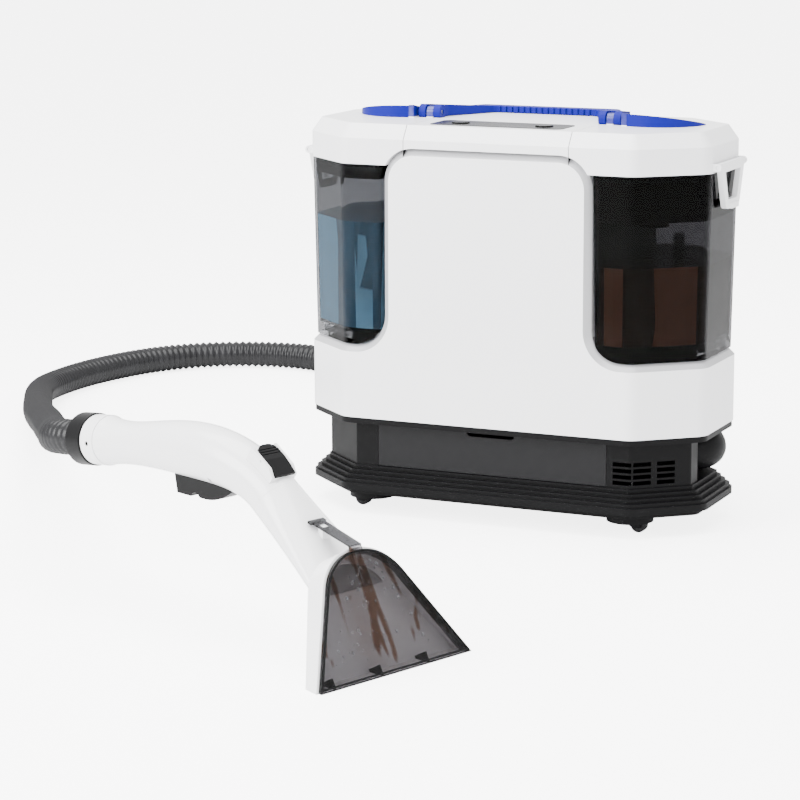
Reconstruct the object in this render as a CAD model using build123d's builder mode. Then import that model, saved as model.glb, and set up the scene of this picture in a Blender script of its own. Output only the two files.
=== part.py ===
from build123d import *
from math import cos, radians, sin, sqrt, tan
import os

# Portable spot extractor: an upright machine on four small casters, with a clean and a
# dirty water tank at its two ends, and a hose that leads to a hand tool with a trigger
# and a wide clear nozzle. Millimetres, Z up, the machine's front towards -Y. While the
# pieces are built, the machine's centre on the floor is the origin; at the end all of
# them move together so that the set's own footprint is centred on the origin.

# ---------------------------------------------------------------- driving dimensions
# Body plan: a long octagon with rounded corners
BODY_X = 192.0
BODY_Y = 88.5
FACET_X = 138.0
FACET_Y = 42.0
CORNER_R = 18.0

# Levels, from the floor up
PLATE_Z = 17.0
PLATE_T = 4.8
PLINTH_BAND = 6.2
RIDGE_RISE = 14.6
WALL_TOP = 84.0
BAND_Z = 89.4
BAND_TOP = 156.0
SEAM_Z = 320.5
CHAMFER_Z = 343.8
TOP_Z = 356.5

# Black base
RIDGES = 4
RIDGE_SHARE = 0.55
RECESS = 15.5
BASE_WALL = 3.0
RIM_INSET = 1.0
PLATE_INSET = 8.0
BAY_X = 108.0
BAY_Z = 45.6
BAY_H = 36.0
BAY_DEEP = 44.0
COVER_T = 2.5
COVER_LAP = 2.8
CLIP_T = 2.0
CLIP_L = 9.0
CLIP_W = 12.0
NOTCH_X = 46.0
NOTCH_H = 3.6
VENT_L = 17.0
VENT_H = 3.7
VENT_PITCH = 5.6
VENT_ROWS = 4
VENT_Z = 45.5
VENT_GAP = 5.5
VENT_RAKE = 24.0

# White housing with its centre tower
WALL = 3.0
TOWER_X = 99.0
TOWER_TOP = 336.0
TOWER_BEVEL = 6.0
WINDOW_R = 28.0
SHOULDER_R = 30.0

# Fits
GAP = 0.35
PIN_CLEAR = 0.05
BUTTON_CLEAR = 0.4

# Tanks and their lids
TANK_CLEAR = 0.6
TANK_WALL = 2.6
TANK_DRAFT = 1.0
TANK_FLOOR = 168.0
TANK_FOOT = 9.0
TANK_EDGE_R = 5.0
LID_GAP = 0.6
LID_WALL = 2.8
TOP_CHAMFER = 9.0
COVER_X = 78.0
STEP_Y = -17.0
STEP_R = 6.0
SEAM_LAP = 5.0
CLEAN_SKIRT = 13.0
DIRTY_SKIRT = 41.0
SKIRT_WALL = 2.0
SKIRT_CLEAR = 1.5
SEAL_H = 3.0
FLANGE_IN = 0.4
FLANGE_FIT = 0.45
GRIP_RISE = 11.0
GRIP_TIP_RISE = 0.9
GRIP_X = 66.0
GRIP_WALL = 5.0
GRIP_FRONT = -16.0
GRIP_BACK = 34.0
GRIP_TIP_Y = 22.0
GRIP_BOW_X = 29.7
GRIP_BOW = 2.0
VALVE_X = 150.0
VALVE_R = 8.0
VALVE_LIP = 3.5
FLOAT_R = 20.0
FLOAT_H = 28.0
FLOAT_EDGE_R = 3.5
FLOAT_STEM_R = 5.0
FLOAT_STEM_H = 94.0
DUCT_R = 14.0
DUCT_IN = 22.4
DUCT_MORE = 12.0
PAD_R = 2.9
PAD_IN = 9.5

# Bail latches at the two ends
BAIL_TOP_W = 66.0
BAIL_LOW_W = 36.0
BAIL_H = 41.0
BAIL_BAR = 8.0
BAIL_T = 5.0
BAIL_PIVOT_Z = 325.6
BAIL_ABOVE = 3.0
BAIL_OUT = 4.6
BAIL_TRUNNION_R = 1.7
TRUNNION_IN = 2.72
EAR_T = 3.4
EAR_GAP = 0.5
CATCH_W = 18.0
CATCH_H = 3.4
CATCH_RISE = 1.5

# Carry handle, folded to the rear
HUB_R = 7.0
HUB_Y = -4.0
HUB_RISE = 4.7
HUB_IN = 76.5
HUB_OUT = 97.6
LUG_T = 6.4
LUG_R = 5.4
LUG_GAP = 0.7
LUG_BASE = 4.0
BOSS_R = 4.0
BOSS_X = 58.0
BOSS_Y = 58.0
HANDLE_PIN_R = 2.5
BAR_X = 50.0
BAR_Y = 57.0
BAR_D = 15.0
BAR_H = 5.6
BAR_RIBS = 17
BAR_GROOVE = 1.8
BAR_CUT = 1.2
ARM_BEND_R = 6.0
ARM_INNER = 6.0
ARM_OUTER = 12.0
ARM_SPREAD = 16.0
HANDLE_LIFT = 0.5

# Control strip and its two buttons
STRIP_X = 126.0
STRIP_Y0 = -69.0
STRIP_D = 42.0
STRIP_T = 2.0
STRIP_R = 7.0
BUTTON_R = 8.0
BUTTON_X = 40.0
BUTTON_H = 7.0
BUTTON_PROUD = 1.2

# Inner machinery
MOTOR_X = -28.0
MOTOR_R = 48.0
MOTOR_H = 88.0
SLOTS = 16
SLOT_R = 3.0
SLOT_UP = 24.0
SLOT_LESS = 40.0
MOUNT_Z = 186.0
MOUNT_T = 5.0
FAN_R = 56.0
FAN_H = 22.0
FAN_BLADES = 9
BLADE_IN = 6.0
BLADE_T = 2.0
BLADE_BOW = 1 / 4.4
FAN_WALL = 3.0
FAN_GAP = 2.0
SHAFT_R = 5.0
SHAFT_L = 20.0
OUTLET_W = 28.0
RISER_X = 51.0
RISER_Y = 20.0
RISER_LEAD = 22.0
RISER_BEND_R = 19.0
PUMP_R = 17.0
PUMP_L = 62.0
PUMP_BODY = 0.62
PUMP_HEAD = 0.36
PUMP_HEAD_R = 13.6
PUMP_FOOT_L = 8.0
PUMP_FOOT_W = 23.8
PUMP_PORT_X = 15.5
PUMP_PORTS = 10.0
PUMP_PORT_R = 3.0
PUMP_PORT_H = 14.0
PUMP_X = -104.0
PUMP_Y = 26.0
BOARD_X = 104.0
BOARD_H = 84.0
BOARD_Z = 196.0
BOARD_T = 1.6
STANDOFF = 6.0
STANDOFF_R = 2.5
BOARD_HOLE_IN = 10.0
BOARD_PARTS = (
    (-30.0, 12.0, 26.0, 22.0, 12.0),
    (8.0, 10.0, 18.0, 30.0, 9.0),
    (34.0, 48.0, 20.0, 16.0, 7.0),
    (-14.0, 52.0, 14.0, 14.0, 4.0),
)

# Hose port in its bay at the right-hand rear of the base
PORT_Z = 64.5
PORT_R = 18.5
PORT_WALL = 3.0
BAY_IN = (162.0, -17.0)
BAY_MID = (140.0, 29.0)
BAY_REAR_X = 124.0
PORT_IN = 12.0
PORT_STEP = 1.6
PORT_REACH = 26.4
PORT_BEND_R = 19.5
TAIL_TURN = 114.3
TAIL_L = 40.0
COLLAR_R = 17.2
COLLAR_L = 14.0
COLLAR_BEVEL = 1.2

# Gland of the mains lead and the rack for it, on the rear
GLAND_X = -70.0
GLAND_Z = 62.0
GLAND_R = 8.0
GLAND_OUT = 9.0
GLAND_LIP = 2.5
MAINS_R = 4.2
RACK_Z = 246.0
RACK_L = 150.0
RACK_W = 34.0
RACK_T = 4.0
RACK_SLOT_L = 54.0
RACK_SLOT_W = 11.56
RACK_POSTS = 112.0
RACK_POST_R = 8.0
RACK_OUT = 18.0
RACK_SPINDLE_R = 4.0
HOOK_L = 66.0
HOOK_W = 26.0
HOOK_T = 6.0
HOOK_EDGE_R = 1.5

# Hose, from the port's collar to the tool's cuff
HOSE_D = 30.0
HOSE_WALL = 2.4
HOSE_REST = HOSE_D / 2 + 0.3
HOSE_LEAD = 45.0
HOSE_TAIL = 40.0
HOSE_SHARE = 0.45
HOSE_WAY = (
    (102.0, 152.0, 34.0),
    (42.0, 212.0, HOSE_REST),
    (-62.0, 272.0, HOSE_REST),
    (-180.0, 352.0, HOSE_REST),
    (-290.0, 430.0, HOSE_REST),
    (-375.0, 493.0, HOSE_REST),
    (-449.5, 531.8, HOSE_REST),
    (-513.5, 539.5, HOSE_REST),
    (-576.6, 520.0, HOSE_REST),
    (-624.0, 475.0, HOSE_REST),
    (-651.5, 415.0, HOSE_REST),
    (-666.0, 338.6, HOSE_REST),
    (-661.0, 259.0, 16.5),
    (-632.0, 189.0, 23.0),
    (-580.0, 103.0, 34.0),
    (-510.0, -12.0, 52.5),
    (-442.0, -117.0, 70.5),
    (-380.0, -207.0, 86.5),
    (-330.0, -282.0, 98.0),
    (-290.0, -340.0, 109.0),
)

# Casters
CASTER_X = 126.0
CASTER_Y = 52.0
CUP_R = 21.0
CUP_WALL = 1.7
CUP_Z = 10.0
CUP_ROOF = 1.2
WHEEL_R = 7.0
WHEEL_W = 9.4
WHEEL_EDGE_R = 1.2
TRAIL = 9.0
FORK_CHEEK = 2.2
CROWN_BACK = 2.3
CROWN_L = 7.4
CROWN_T = 3.6
CHEEK_BACK = 6.0
CHEEK_FORE = 5.0
CHEEK_R = 3.2
STEM_R = 3.0
STEM_HEAD = 0.6
AXLE_R = 1.5

# Hand tool: it stands on its nozzle lip, and its handle rises away from the lip
LIP_AT = (115.2, -535.2, 0.0)
TOOL_TURN = 159.9
LIP_W = 162.6
FAN_TILT = 63.0
FAN_TOP = 97.3
FAN_SHOULDER = 28.6
FAN_ARCH_R = 44.9
FAN_DEEP_LIP = 13.0
FAN_DEEP_TOP = 20.0
FAN_SIDE = 2.0
HANDLE_OVALS = (
    (321.7, 128.3, -5.5, 20.0, 20.0),
    (243.0, 134.9, -6.0, 20.9, 20.5),
    (186.7, 134.6, 9.0, 22.2, 21.5),
    (150.0, 125.6, 28.0, 20.2, 20.0),
    (126.6, 111.9, 45.0, 20.0, 20.0),
)
NECK_UP = 66.0
NECK_DEEP = 16.0
NECK_WIDE = 36.0
NECK_HIGH = 22.0
SPIGOT_R = 15.5
SPIGOT_L = 12.0
TOOL_WALL = 2.5
COVER_SIDE = 1.8
COVER_RAISE = 3.0
TIP_UP = 34.0
TIP_R = 5.0
COVER_SEAT = 6.0
TAB_ROOT = 14.0
TAB_OVER = 1.5
TAB_DOWN = 14.0
TAB_TIP = (84.0, 102.2)
TAB_T = 1.9
TAB_W = 12.0
TAB_GRIP_W = 16.0
TAB_GRIP_L = 4.0
TAB_WINDOW_L = 7.0
TAB_WINDOW_W = 8.0
TAB_WINDOW_IN = 6.0
RAIL_H = 4.0
RAIL_FIN_T = 1.6
RAIL_FINS = (-63.0, -14.0, 35.0)
RIB_BACK = 232.0
RIB_LOW = 128.0
RIB_T = 3.0
SPRAY_L = 34.0
SPRAY_H = 12.0
SPRAY_LOW = 131.0
CUFF_L = 19.0
CUFF_R = 21.6
CUFF_BEVEL = 1.5
RING_L = 15.0
RING_R = 20.6
SCREW_R = 1.9
SCREW_BACK = 6.75
TRIGGER_W = 15.0
TRIGGER_PIN_R = 2.0
TRIGGER_PIN_AT = (186.0, 119.0)
TRIGGER_PIN_L = 26.0
TRIGGER_BACK = 236.0
TRIGGER_NOSE = 168.0
TRIGGER_LOW = 100.5
TRIGGER_TIP = 7.5
CREST_BACK = 19.0
CREST_MID = 24.0
CREST_FORE = 29.0
CREST_H = 3.0
BELLY_AT = 50.0
BELLY_RISE = 1.5
LATCH_AT = (134.4, 132.4)
LATCH_LEAN = 35.5
LATCH_L = 30.0
LATCH_DEEP = 10.0
LATCH_BRIDGE = 7.0
LATCH_TOP = 12.2
LATCH_CHEEK = 2.6
RELEASE_W = 20.0
RELEASE_L = 31.0
RELEASE_LOW = 8.3
RELEASE_T = 4.6
RELEASE_END_R = 8.0
RELEASE_PIN_R = 1.0
PIN_SHORT = 0.2
RELEASE_PIN_AT = (-2.0, 10.4)
GROOVE_PITCH = 2.6
GROOVE_T = 1.0
GROOVE_CUT = 0.7

# How far a cutting shape reaches past what it cuts
PAST = 20.0

# ---------------------------------------------------------------- derived values
PLINTH_Z = PLATE_Z + PLATE_T
RIDGE_Z = PLINTH_Z + PLINTH_BAND
WALL_Z = RIDGE_Z + RIDGE_RISE
RECESS_Y = BODY_Y - RECESS
TANK_Z = BAND_TOP + TANK_CLEAR
TANK_TOP = SEAM_Z - LID_GAP
HUB_SIDE = TOWER_X + TANK_CLEAR - GAP
HUB_Z = TOP_Z + HUB_RISE
DRAFT_RUN = (TANK_TOP - TANK_Z) * tan(radians(TANK_DRAFT))
BACK = Vector(cos(radians(TOOL_TURN)), sin(radians(TOOL_TURN)), 0)
ALONG = Vector(sin(radians(TOOL_TURN)), -cos(radians(TOOL_TURN)), 0)
UP = Vector(0, 0, 1)
SIDE = Plane(origin=LIP_AT, x_dir=BACK, z_dir=ALONG)
FAN_OUT = BACK * -sin(radians(FAN_TILT)) + UP * cos(radians(FAN_TILT))
FAN = Plane(origin=LIP_AT, x_dir=ALONG, z_dir=FAN_OUT)
FAN_FOOT = 2 * FAN_DEEP_TOP
HUB_MID = (HUB_IN + HUB_OUT) / 2
BUTTON_Y = STRIP_Y0 + STRIP_D / 2
BUTTON_SPOTS = ((-BUTTON_X, BUTTON_Y), (BUTTON_X, BUTTON_Y))
STANDING = (Align.CENTER, Align.CENTER, Align.MIN)
HANGING = (Align.CENTER, Align.CENTER, Align.MAX)
RISER_R = PORT_R - PORT_STEP
PORT_MOUTH = (Vector(*BAY_IN, PORT_Z) + Vector(*BAY_MID, PORT_Z)) / 2
PORT_DIR = Vector(BAY_MID[1] - BAY_IN[1], BAY_IN[0] - BAY_MID[0], 0).normalized()
PORT_CORNER = PORT_MOUTH + PORT_DIR * PORT_REACH
TAIL_DIR = Vector(cos(radians(TAIL_TURN)), sin(radians(TAIL_TURN)), 0)
PORT_TAIL = PORT_CORNER + TAIL_DIR * TAIL_L


# ---------------------------------------------------------------- shared outlines
def outline(inset):
    """Body plan moved inward by inset, its corners rounded."""
    corners = [
        (FACET_X, -BODY_Y),
        (BODY_X, -FACET_Y),
        (BODY_X, FACET_Y),
        (FACET_X, BODY_Y),
        (-FACET_X, BODY_Y),
        (-BODY_X, FACET_Y),
        (-BODY_X, -FACET_Y),
        (-FACET_X, -BODY_Y),
    ]
    with BuildSketch(mode=Mode.PRIVATE) as plan:
        with BuildLine():
            Polyline(*corners, close=True)
        make_face()
        if inset:
            offset(amount=-inset, kind=Kind.INTERSECTION)
        fillet(plan.vertices(), max(CORNER_R - inset, 2.0))
    return plan.sketch_local


def tower_profile(grow):
    """Front view of the white housing: the band and the tower, moved outward by grow."""
    half = TOWER_X + grow
    shelf = BAND_TOP + grow
    top = TOWER_TOP + grow
    wide = BODY_X + PAST
    low = BAND_Z - PAST
    with BuildSketch(mode=Mode.PRIVATE) as front:
        with BuildLine():
            Polyline(
                (-wide, low), (wide, low), (wide, shelf), (half, shelf), (half, top),
                (-half, top), (-half, shelf), (-wide, shelf), close=True,
            )
        make_face()
        feet = [v for v in front.vertices() if abs(abs(v.X) - half) < 0.01 and v.Y < shelf + 1]
        fillet(feet, WINDOW_R - grow)
        shoulders = [v for v in front.vertices() if v.Y > top - 0.01]
        fillet(shoulders, SHOULDER_R + grow)
    return front.sketch_local


def housing_block(inset, bevel):
    """Outside of the white housing moved inward by inset, its window edges bevelled."""
    with BuildPart(mode=Mode.PRIVATE) as block:
        with BuildSketch(Plane.XY.offset(BAND_Z)):
            add(outline(inset))
        extrude(amount=TOWER_TOP - BAND_Z)
        with BuildSketch(Plane.XZ):
            add(tower_profile(-inset))
        extrude(amount=2 * BODY_Y, both=True, mode=Mode.INTERSECT)
        rim = [
            edge
            for edge in block.edges()
            if edge.center().Z > BAND_Z + 1
            and abs(edge.tangent_at(0.5).Y) < 0.999
            and not (abs(edge.tangent_at(0.5).Z) > 0.999 and abs(edge.center().X) > TOWER_X + 1)
        ]
        chamfer(rim, bevel)
    return block.part


def cap_block(inset):
    """Top of the body above the tank seam, moved inward and down by inset."""
    with BuildPart(mode=Mode.PRIVATE) as block:
        with BuildSketch(Plane.XY.offset(SEAM_Z)):
            add(outline(inset))
        extrude(amount=CHAMFER_Z - SEAM_Z)
        with BuildSketch(Plane.XY.offset(CHAMFER_Z)):
            add(outline(inset))
        with BuildSketch(Plane.XY.offset(TOP_Z - inset)):
            add(outline(inset + TOP_CHAMFER))
        loft(ruled=True)
    return block.part


def split_plan(front_x, hub_x, step_y, reach):
    """Right half plan of the room on one side of the stepped split of the top."""
    far_y = BODY_Y + PAST
    with BuildSketch(mode=Mode.PRIVATE) as plan:
        with BuildLine():
            Polyline(
                (front_x, -far_y), (reach, -far_y), (reach, far_y), (hub_x, far_y),
                (hub_x, step_y), (front_x, step_y), close=True,
            )
        make_face()
        step = [v for v in plan.vertices() if abs(v.Y - step_y) < 0.01]
        fillet(step, STEP_R)
    return plan.sketch_local


def cover_block(inset):
    """Block of the middle of the top, between the two lids, moved inward by inset."""
    with BuildPart(mode=Mode.PRIVATE) as block:
        add(cap_block(inset))
        for side in (1, -1):
            beyond = split_plan(COVER_X - inset, HUB_SIDE - inset, STEP_Y + inset, BODY_X + 1.5 * PAST)
            with BuildSketch(Plane.XY.offset(SEAM_Z - 1)):
                add(beyond if side > 0 else mirror(beyond, about=Plane.YZ))
            extrude(amount=TOP_Z, mode=Mode.SUBTRACT)
    return block.part


def lid_room(inset):
    """Room of the right-hand lid, moved inward by inset on the tower's side."""
    with BuildPart(mode=Mode.PRIVATE) as room:
        with BuildSketch(Plane.XY.offset(SEAM_Z - SEAM_LAP)):
            add(split_plan(COVER_X + inset, HUB_SIDE + inset, STEP_Y - inset, BODY_X + PAST))
        extrude(amount=TOP_Z + 1.5 * PAST - SEAM_Z)
        with BuildSketch(Plane.XZ):
            add(tower_profile(inset))
        extrude(amount=2 * BODY_Y, both=True, mode=Mode.SUBTRACT)
    return room.part


def tank_plan(inset):
    """Right-hand end of the body outline beyond the tower, moved inward by inset."""
    with BuildSketch(mode=Mode.PRIVATE) as plan:
        add(outline(inset))
        with Locations((TOWER_X + inset, 0)):
            Rectangle(2 * BODY_X, 4 * BODY_Y, align=(Align.MIN, Align.CENTER), mode=Mode.INTERSECT)
        inner = [v for v in plan.vertices() if v.X < TOWER_X + inset + 0.01]
        fillet(inner, max(TANK_EDGE_R - (inset - TANK_CLEAR) / 2, 1.0))
    return plan.sketch_local


def tank_shell():
    """Right-hand tank: a drafted open box that follows the housing's window corner."""
    rise = (TANK_TOP - TANK_FLOOR) * tan(radians(TANK_DRAFT))
    skin = TANK_CLEAR + TANK_WALL
    with BuildPart(mode=Mode.PRIVATE) as room:
        with BuildSketch(Plane.XY.offset(TANK_FLOOR)):
            add(tank_plan(skin + rise))
        with BuildSketch(Plane.XY.offset(TANK_TOP)):
            add(tank_plan(skin))
        loft(ruled=True)
        with BuildSketch(Plane.XY.offset(TANK_Z)):
            add(tank_plan(TANK_CLEAR + DRAFT_RUN + TANK_FOOT))
        extrude(amount=TANK_FLOOR - TANK_WALL - TANK_Z)
        with BuildSketch(Plane.XZ):
            add(tower_profile(skin))
        extrude(amount=2 * BODY_Y, both=True, mode=Mode.SUBTRACT)
    with BuildPart(mode=Mode.PRIVATE) as tank:
        with BuildSketch(Plane.XY.offset(TANK_Z)):
            add(tank_plan(TANK_CLEAR + DRAFT_RUN))
        with BuildSketch(Plane.XY.offset(TANK_TOP)):
            add(tank_plan(TANK_CLEAR))
        loft(ruled=True)
        with BuildSketch(Plane.XZ):
            add(tower_profile(TANK_CLEAR))
        extrude(amount=2 * BODY_Y, both=True, mode=Mode.SUBTRACT)
        add(room.part, mode=Mode.SUBTRACT)
        # Pads that the tank stands on
        end_x = BODY_X - PAD_IN
        side_y = BODY_Y - PAD_IN
        side_x = FACET_X - PAD_R
        spots = [(end_x, -BODY_Y / 4), (end_x, BODY_Y / 4), (side_x, -side_y), (side_x, side_y)]
        with Locations(*[(x, y, BAND_TOP) for x, y in spots]):
            Cylinder(PAD_R, TANK_CLEAR + 1, align=STANDING)
        # Ledge behind the bail's opening
        catch_top = BAIL_PIVOT_Z + BAIL_ABOVE - BAIL_H + BAIL_BAR + CATCH_RISE + CATCH_H
        ledge_out = BODY_X + BAIL_OUT - BAIL_T / 2 - GAP
        with Locations((ledge_out, 0, catch_top)):
            Box(
                ledge_out - BODY_X + TANK_CLEAR + TANK_WALL, CATCH_W, CATCH_H,
                align=(Align.MAX, Align.CENTER, Align.MAX),
            )
    return tank.part


def lid_shell():
    """Right-hand lid: hollow cap with the wall of its grip and the bail's two ears."""
    outer = cap_block(0) & lid_room(LID_GAP)
    inner = cap_block(LID_WALL) & lid_room(LID_GAP + LID_WALL)
    with BuildPart(mode=Mode.PRIVATE) as grip_wall:
        with Locations((HUB_SIDE + LID_GAP + GAP, GRIP_FRONT, TOP_Z - LID_WALL / 2)):
            Box(
                GRIP_WALL, GRIP_BACK - GRIP_FRONT, GRIP_RISE + 2 * LID_WALL,
                align=(Align.MIN, Align.MIN, Align.MIN),
            )
        split(bisect_by=grip_slope(LID_GAP), keep=Keep.BOTTOM)
    with BuildPart(mode=Mode.PRIVATE) as lid:
        add(outer)
        add(inner, mode=Mode.SUBTRACT)
        add(grip_wall.part)
        ear_y = BAIL_TOP_W / 2 + EAR_GAP
        for side in (-1, 1):
            with BuildSketch(Plane.XZ.offset(-side * ear_y)):
                with Locations((BODY_X + BAIL_OUT, BAIL_PIVOT_Z)):
                    Circle(EAR_T)
                with Locations((BODY_X - LID_WALL / 2, BAIL_PIVOT_Z)):
                    Rectangle(
                        LID_WALL / 2 + BAIL_OUT, 2 * EAR_T, align=(Align.MIN, Align.CENTER)
                    )
                with Locations((BODY_X + BAIL_OUT, BAIL_PIVOT_Z)):
                    Circle(BAIL_TRUNNION_R + PIN_CLEAR, mode=Mode.SUBTRACT)
            extrude(amount=-side * EAR_T)
    return lid.part


def grip_slope(lift):
    """Plane over a lid's grip: high at its inner front, low at its tip and its back."""
    high = Vector(HUB_SIDE + LID_GAP, GRIP_FRONT, TOP_Z + GRIP_RISE + lift)
    tip = Vector(HUB_SIDE + LID_GAP + GRIP_X, GRIP_TIP_Y, TOP_Z + GRIP_TIP_RISE + lift)
    rear = Vector(HUB_SIDE + LID_GAP, GRIP_BACK, TOP_Z + GRIP_TIP_RISE * 2 + lift)
    return Plane(origin=high, x_dir=tip - high, z_dir=(tip - high).cross(rear - high))


def skirt_ring(depth):
    """Dark skirt that hangs inside a tank's mouth, its flange under the lid's edge."""
    draft = depth * tan(radians(TANK_DRAFT))
    inset = TANK_CLEAR + TANK_WALL + SKIRT_CLEAR + draft
    low = TANK_TOP - depth
    with BuildPart(mode=Mode.PRIVATE) as skirt:
        with BuildSketch(Plane.XY.offset(low)):
            add(tank_plan(inset))
        extrude(amount=depth + LID_GAP + 2 * SKIRT_WALL)
        with BuildSketch(Plane.XY.offset(TANK_TOP)):
            add(tank_plan(TANK_CLEAR + FLANGE_IN))
        extrude(amount=LID_GAP)
        with BuildSketch(Plane.XY.offset(low)):
            add(tank_plan(inset + SKIRT_WALL))
        extrude(amount=depth + LID_GAP + SKIRT_WALL, mode=Mode.SUBTRACT)
    return skirt.part


def seal_ring(depth):
    """Rubber ring on a skirt, just inside the tank's mouth."""
    draft = depth * tan(radians(TANK_DRAFT))
    inner = TANK_CLEAR + TANK_WALL + SKIRT_CLEAR + draft
    with BuildPart(mode=Mode.PRIVATE) as seal:
        with BuildSketch(Plane.XY.offset(TANK_TOP - 2 * SEAL_H)):
            add(tank_plan(TANK_CLEAR + TANK_WALL + FLANGE_FIT))
            add(tank_plan(inner), mode=Mode.SUBTRACT)
        extrude(amount=SEAL_H)
    return seal.part


def grip_lens():
    """Blue grip of the right-hand lid: a lens in plan under a sloping top."""
    near = HUB_SIDE + LID_GAP + GAP + GRIP_WALL
    tip = (HUB_SIDE + LID_GAP + GRIP_X, GRIP_TIP_Y)
    front = (near, GRIP_FRONT)
    back = (near, GRIP_BACK)
    with BuildPart(mode=Mode.PRIVATE) as grip:
        with BuildSketch(Plane.XY.offset(TOP_Z)):
            with BuildLine():
                ThreePointArc(front, (near + GRIP_BOW_X, GRIP_FRONT - GRIP_BOW), tip)
                ThreePointArc(tip, (near + GRIP_X * 0.5, GRIP_BACK), back)
                Line(back, front)
            make_face()
        extrude(amount=GRIP_RISE + 4)
        split(bisect_by=grip_slope(0.0), keep=Keep.BOTTOM)
    return grip.part


def bail_frame():
    """Right-hand bail: a tapered frame with two trunnions near its top."""
    top = BAIL_PIVOT_Z + BAIL_ABOVE
    low = top - BAIL_H
    face = BODY_X + BAIL_OUT
    with BuildPart(mode=Mode.PRIVATE) as bail:
        with BuildSketch(Plane.YZ.offset(face - BAIL_T / 2)) as frame:
            with BuildLine():
                Polyline(
                    (-BAIL_TOP_W / 2, top), (BAIL_TOP_W / 2, top), (BAIL_LOW_W / 2, low),
                    (-BAIL_LOW_W / 2, low), close=True,
                )
            make_face()
            lower = [v for v in frame.vertices() if v.Y < low + 1]
            fillet(lower, BAIL_BAR)
            offset(amount=-BAIL_BAR, mode=Mode.SUBTRACT, kind=Kind.INTERSECTION)
        extrude(amount=BAIL_T)
        with Locations(Location((face, 0, BAIL_PIVOT_Z), (90, 0, 0))):
            Cylinder(BAIL_TRUNNION_R, BAIL_TOP_W + 2 * EAR_GAP + 2 * TRUNNION_IN)
        # The windowed middle stays clear of the trunnions' shared rod
        with Locations((face, 0, BAIL_PIVOT_Z)):
            Box(BAIL_T, BAIL_TOP_W - 2, 2 * BAIL_ABOVE)
        # Finger lip along the lower bar
        with Locations((face + BAIL_T / 2, 0, low)):
            Box(
                BAIL_T, BAIL_LOW_W - 2 * BAIL_BAR, BAIL_T,
                align=(Align.CENTER, Align.CENTER, Align.MIN),
            )
    return bail.part


# ---------------------------------------------------------------- base
with BuildPart() as base_plate:
    with BuildSketch(Plane.XY.offset(PLATE_Z)):
        add(outline(PLATE_INSET))
    extrude(amount=PLATE_T)
    stems = GridLocations(2 * CASTER_X, 2 * CASTER_Y, 2, 2)
    with BuildSketch(Plane.XY.offset(PLATE_Z)):
        with stems:
            Circle(STEM_R + 1)
    extrude(amount=PLATE_T, mode=Mode.SUBTRACT)

with BuildSketch() as bay_plan:
    with BuildLine():
        Polyline(
            (BODY_X + PAST, BAY_IN[1]), BAY_IN, BAY_MID, (BAY_REAR_X, BODY_Y + PAST),
            (BODY_X + PAST, BODY_Y + PAST), close=True,
        )
    make_face()

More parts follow.
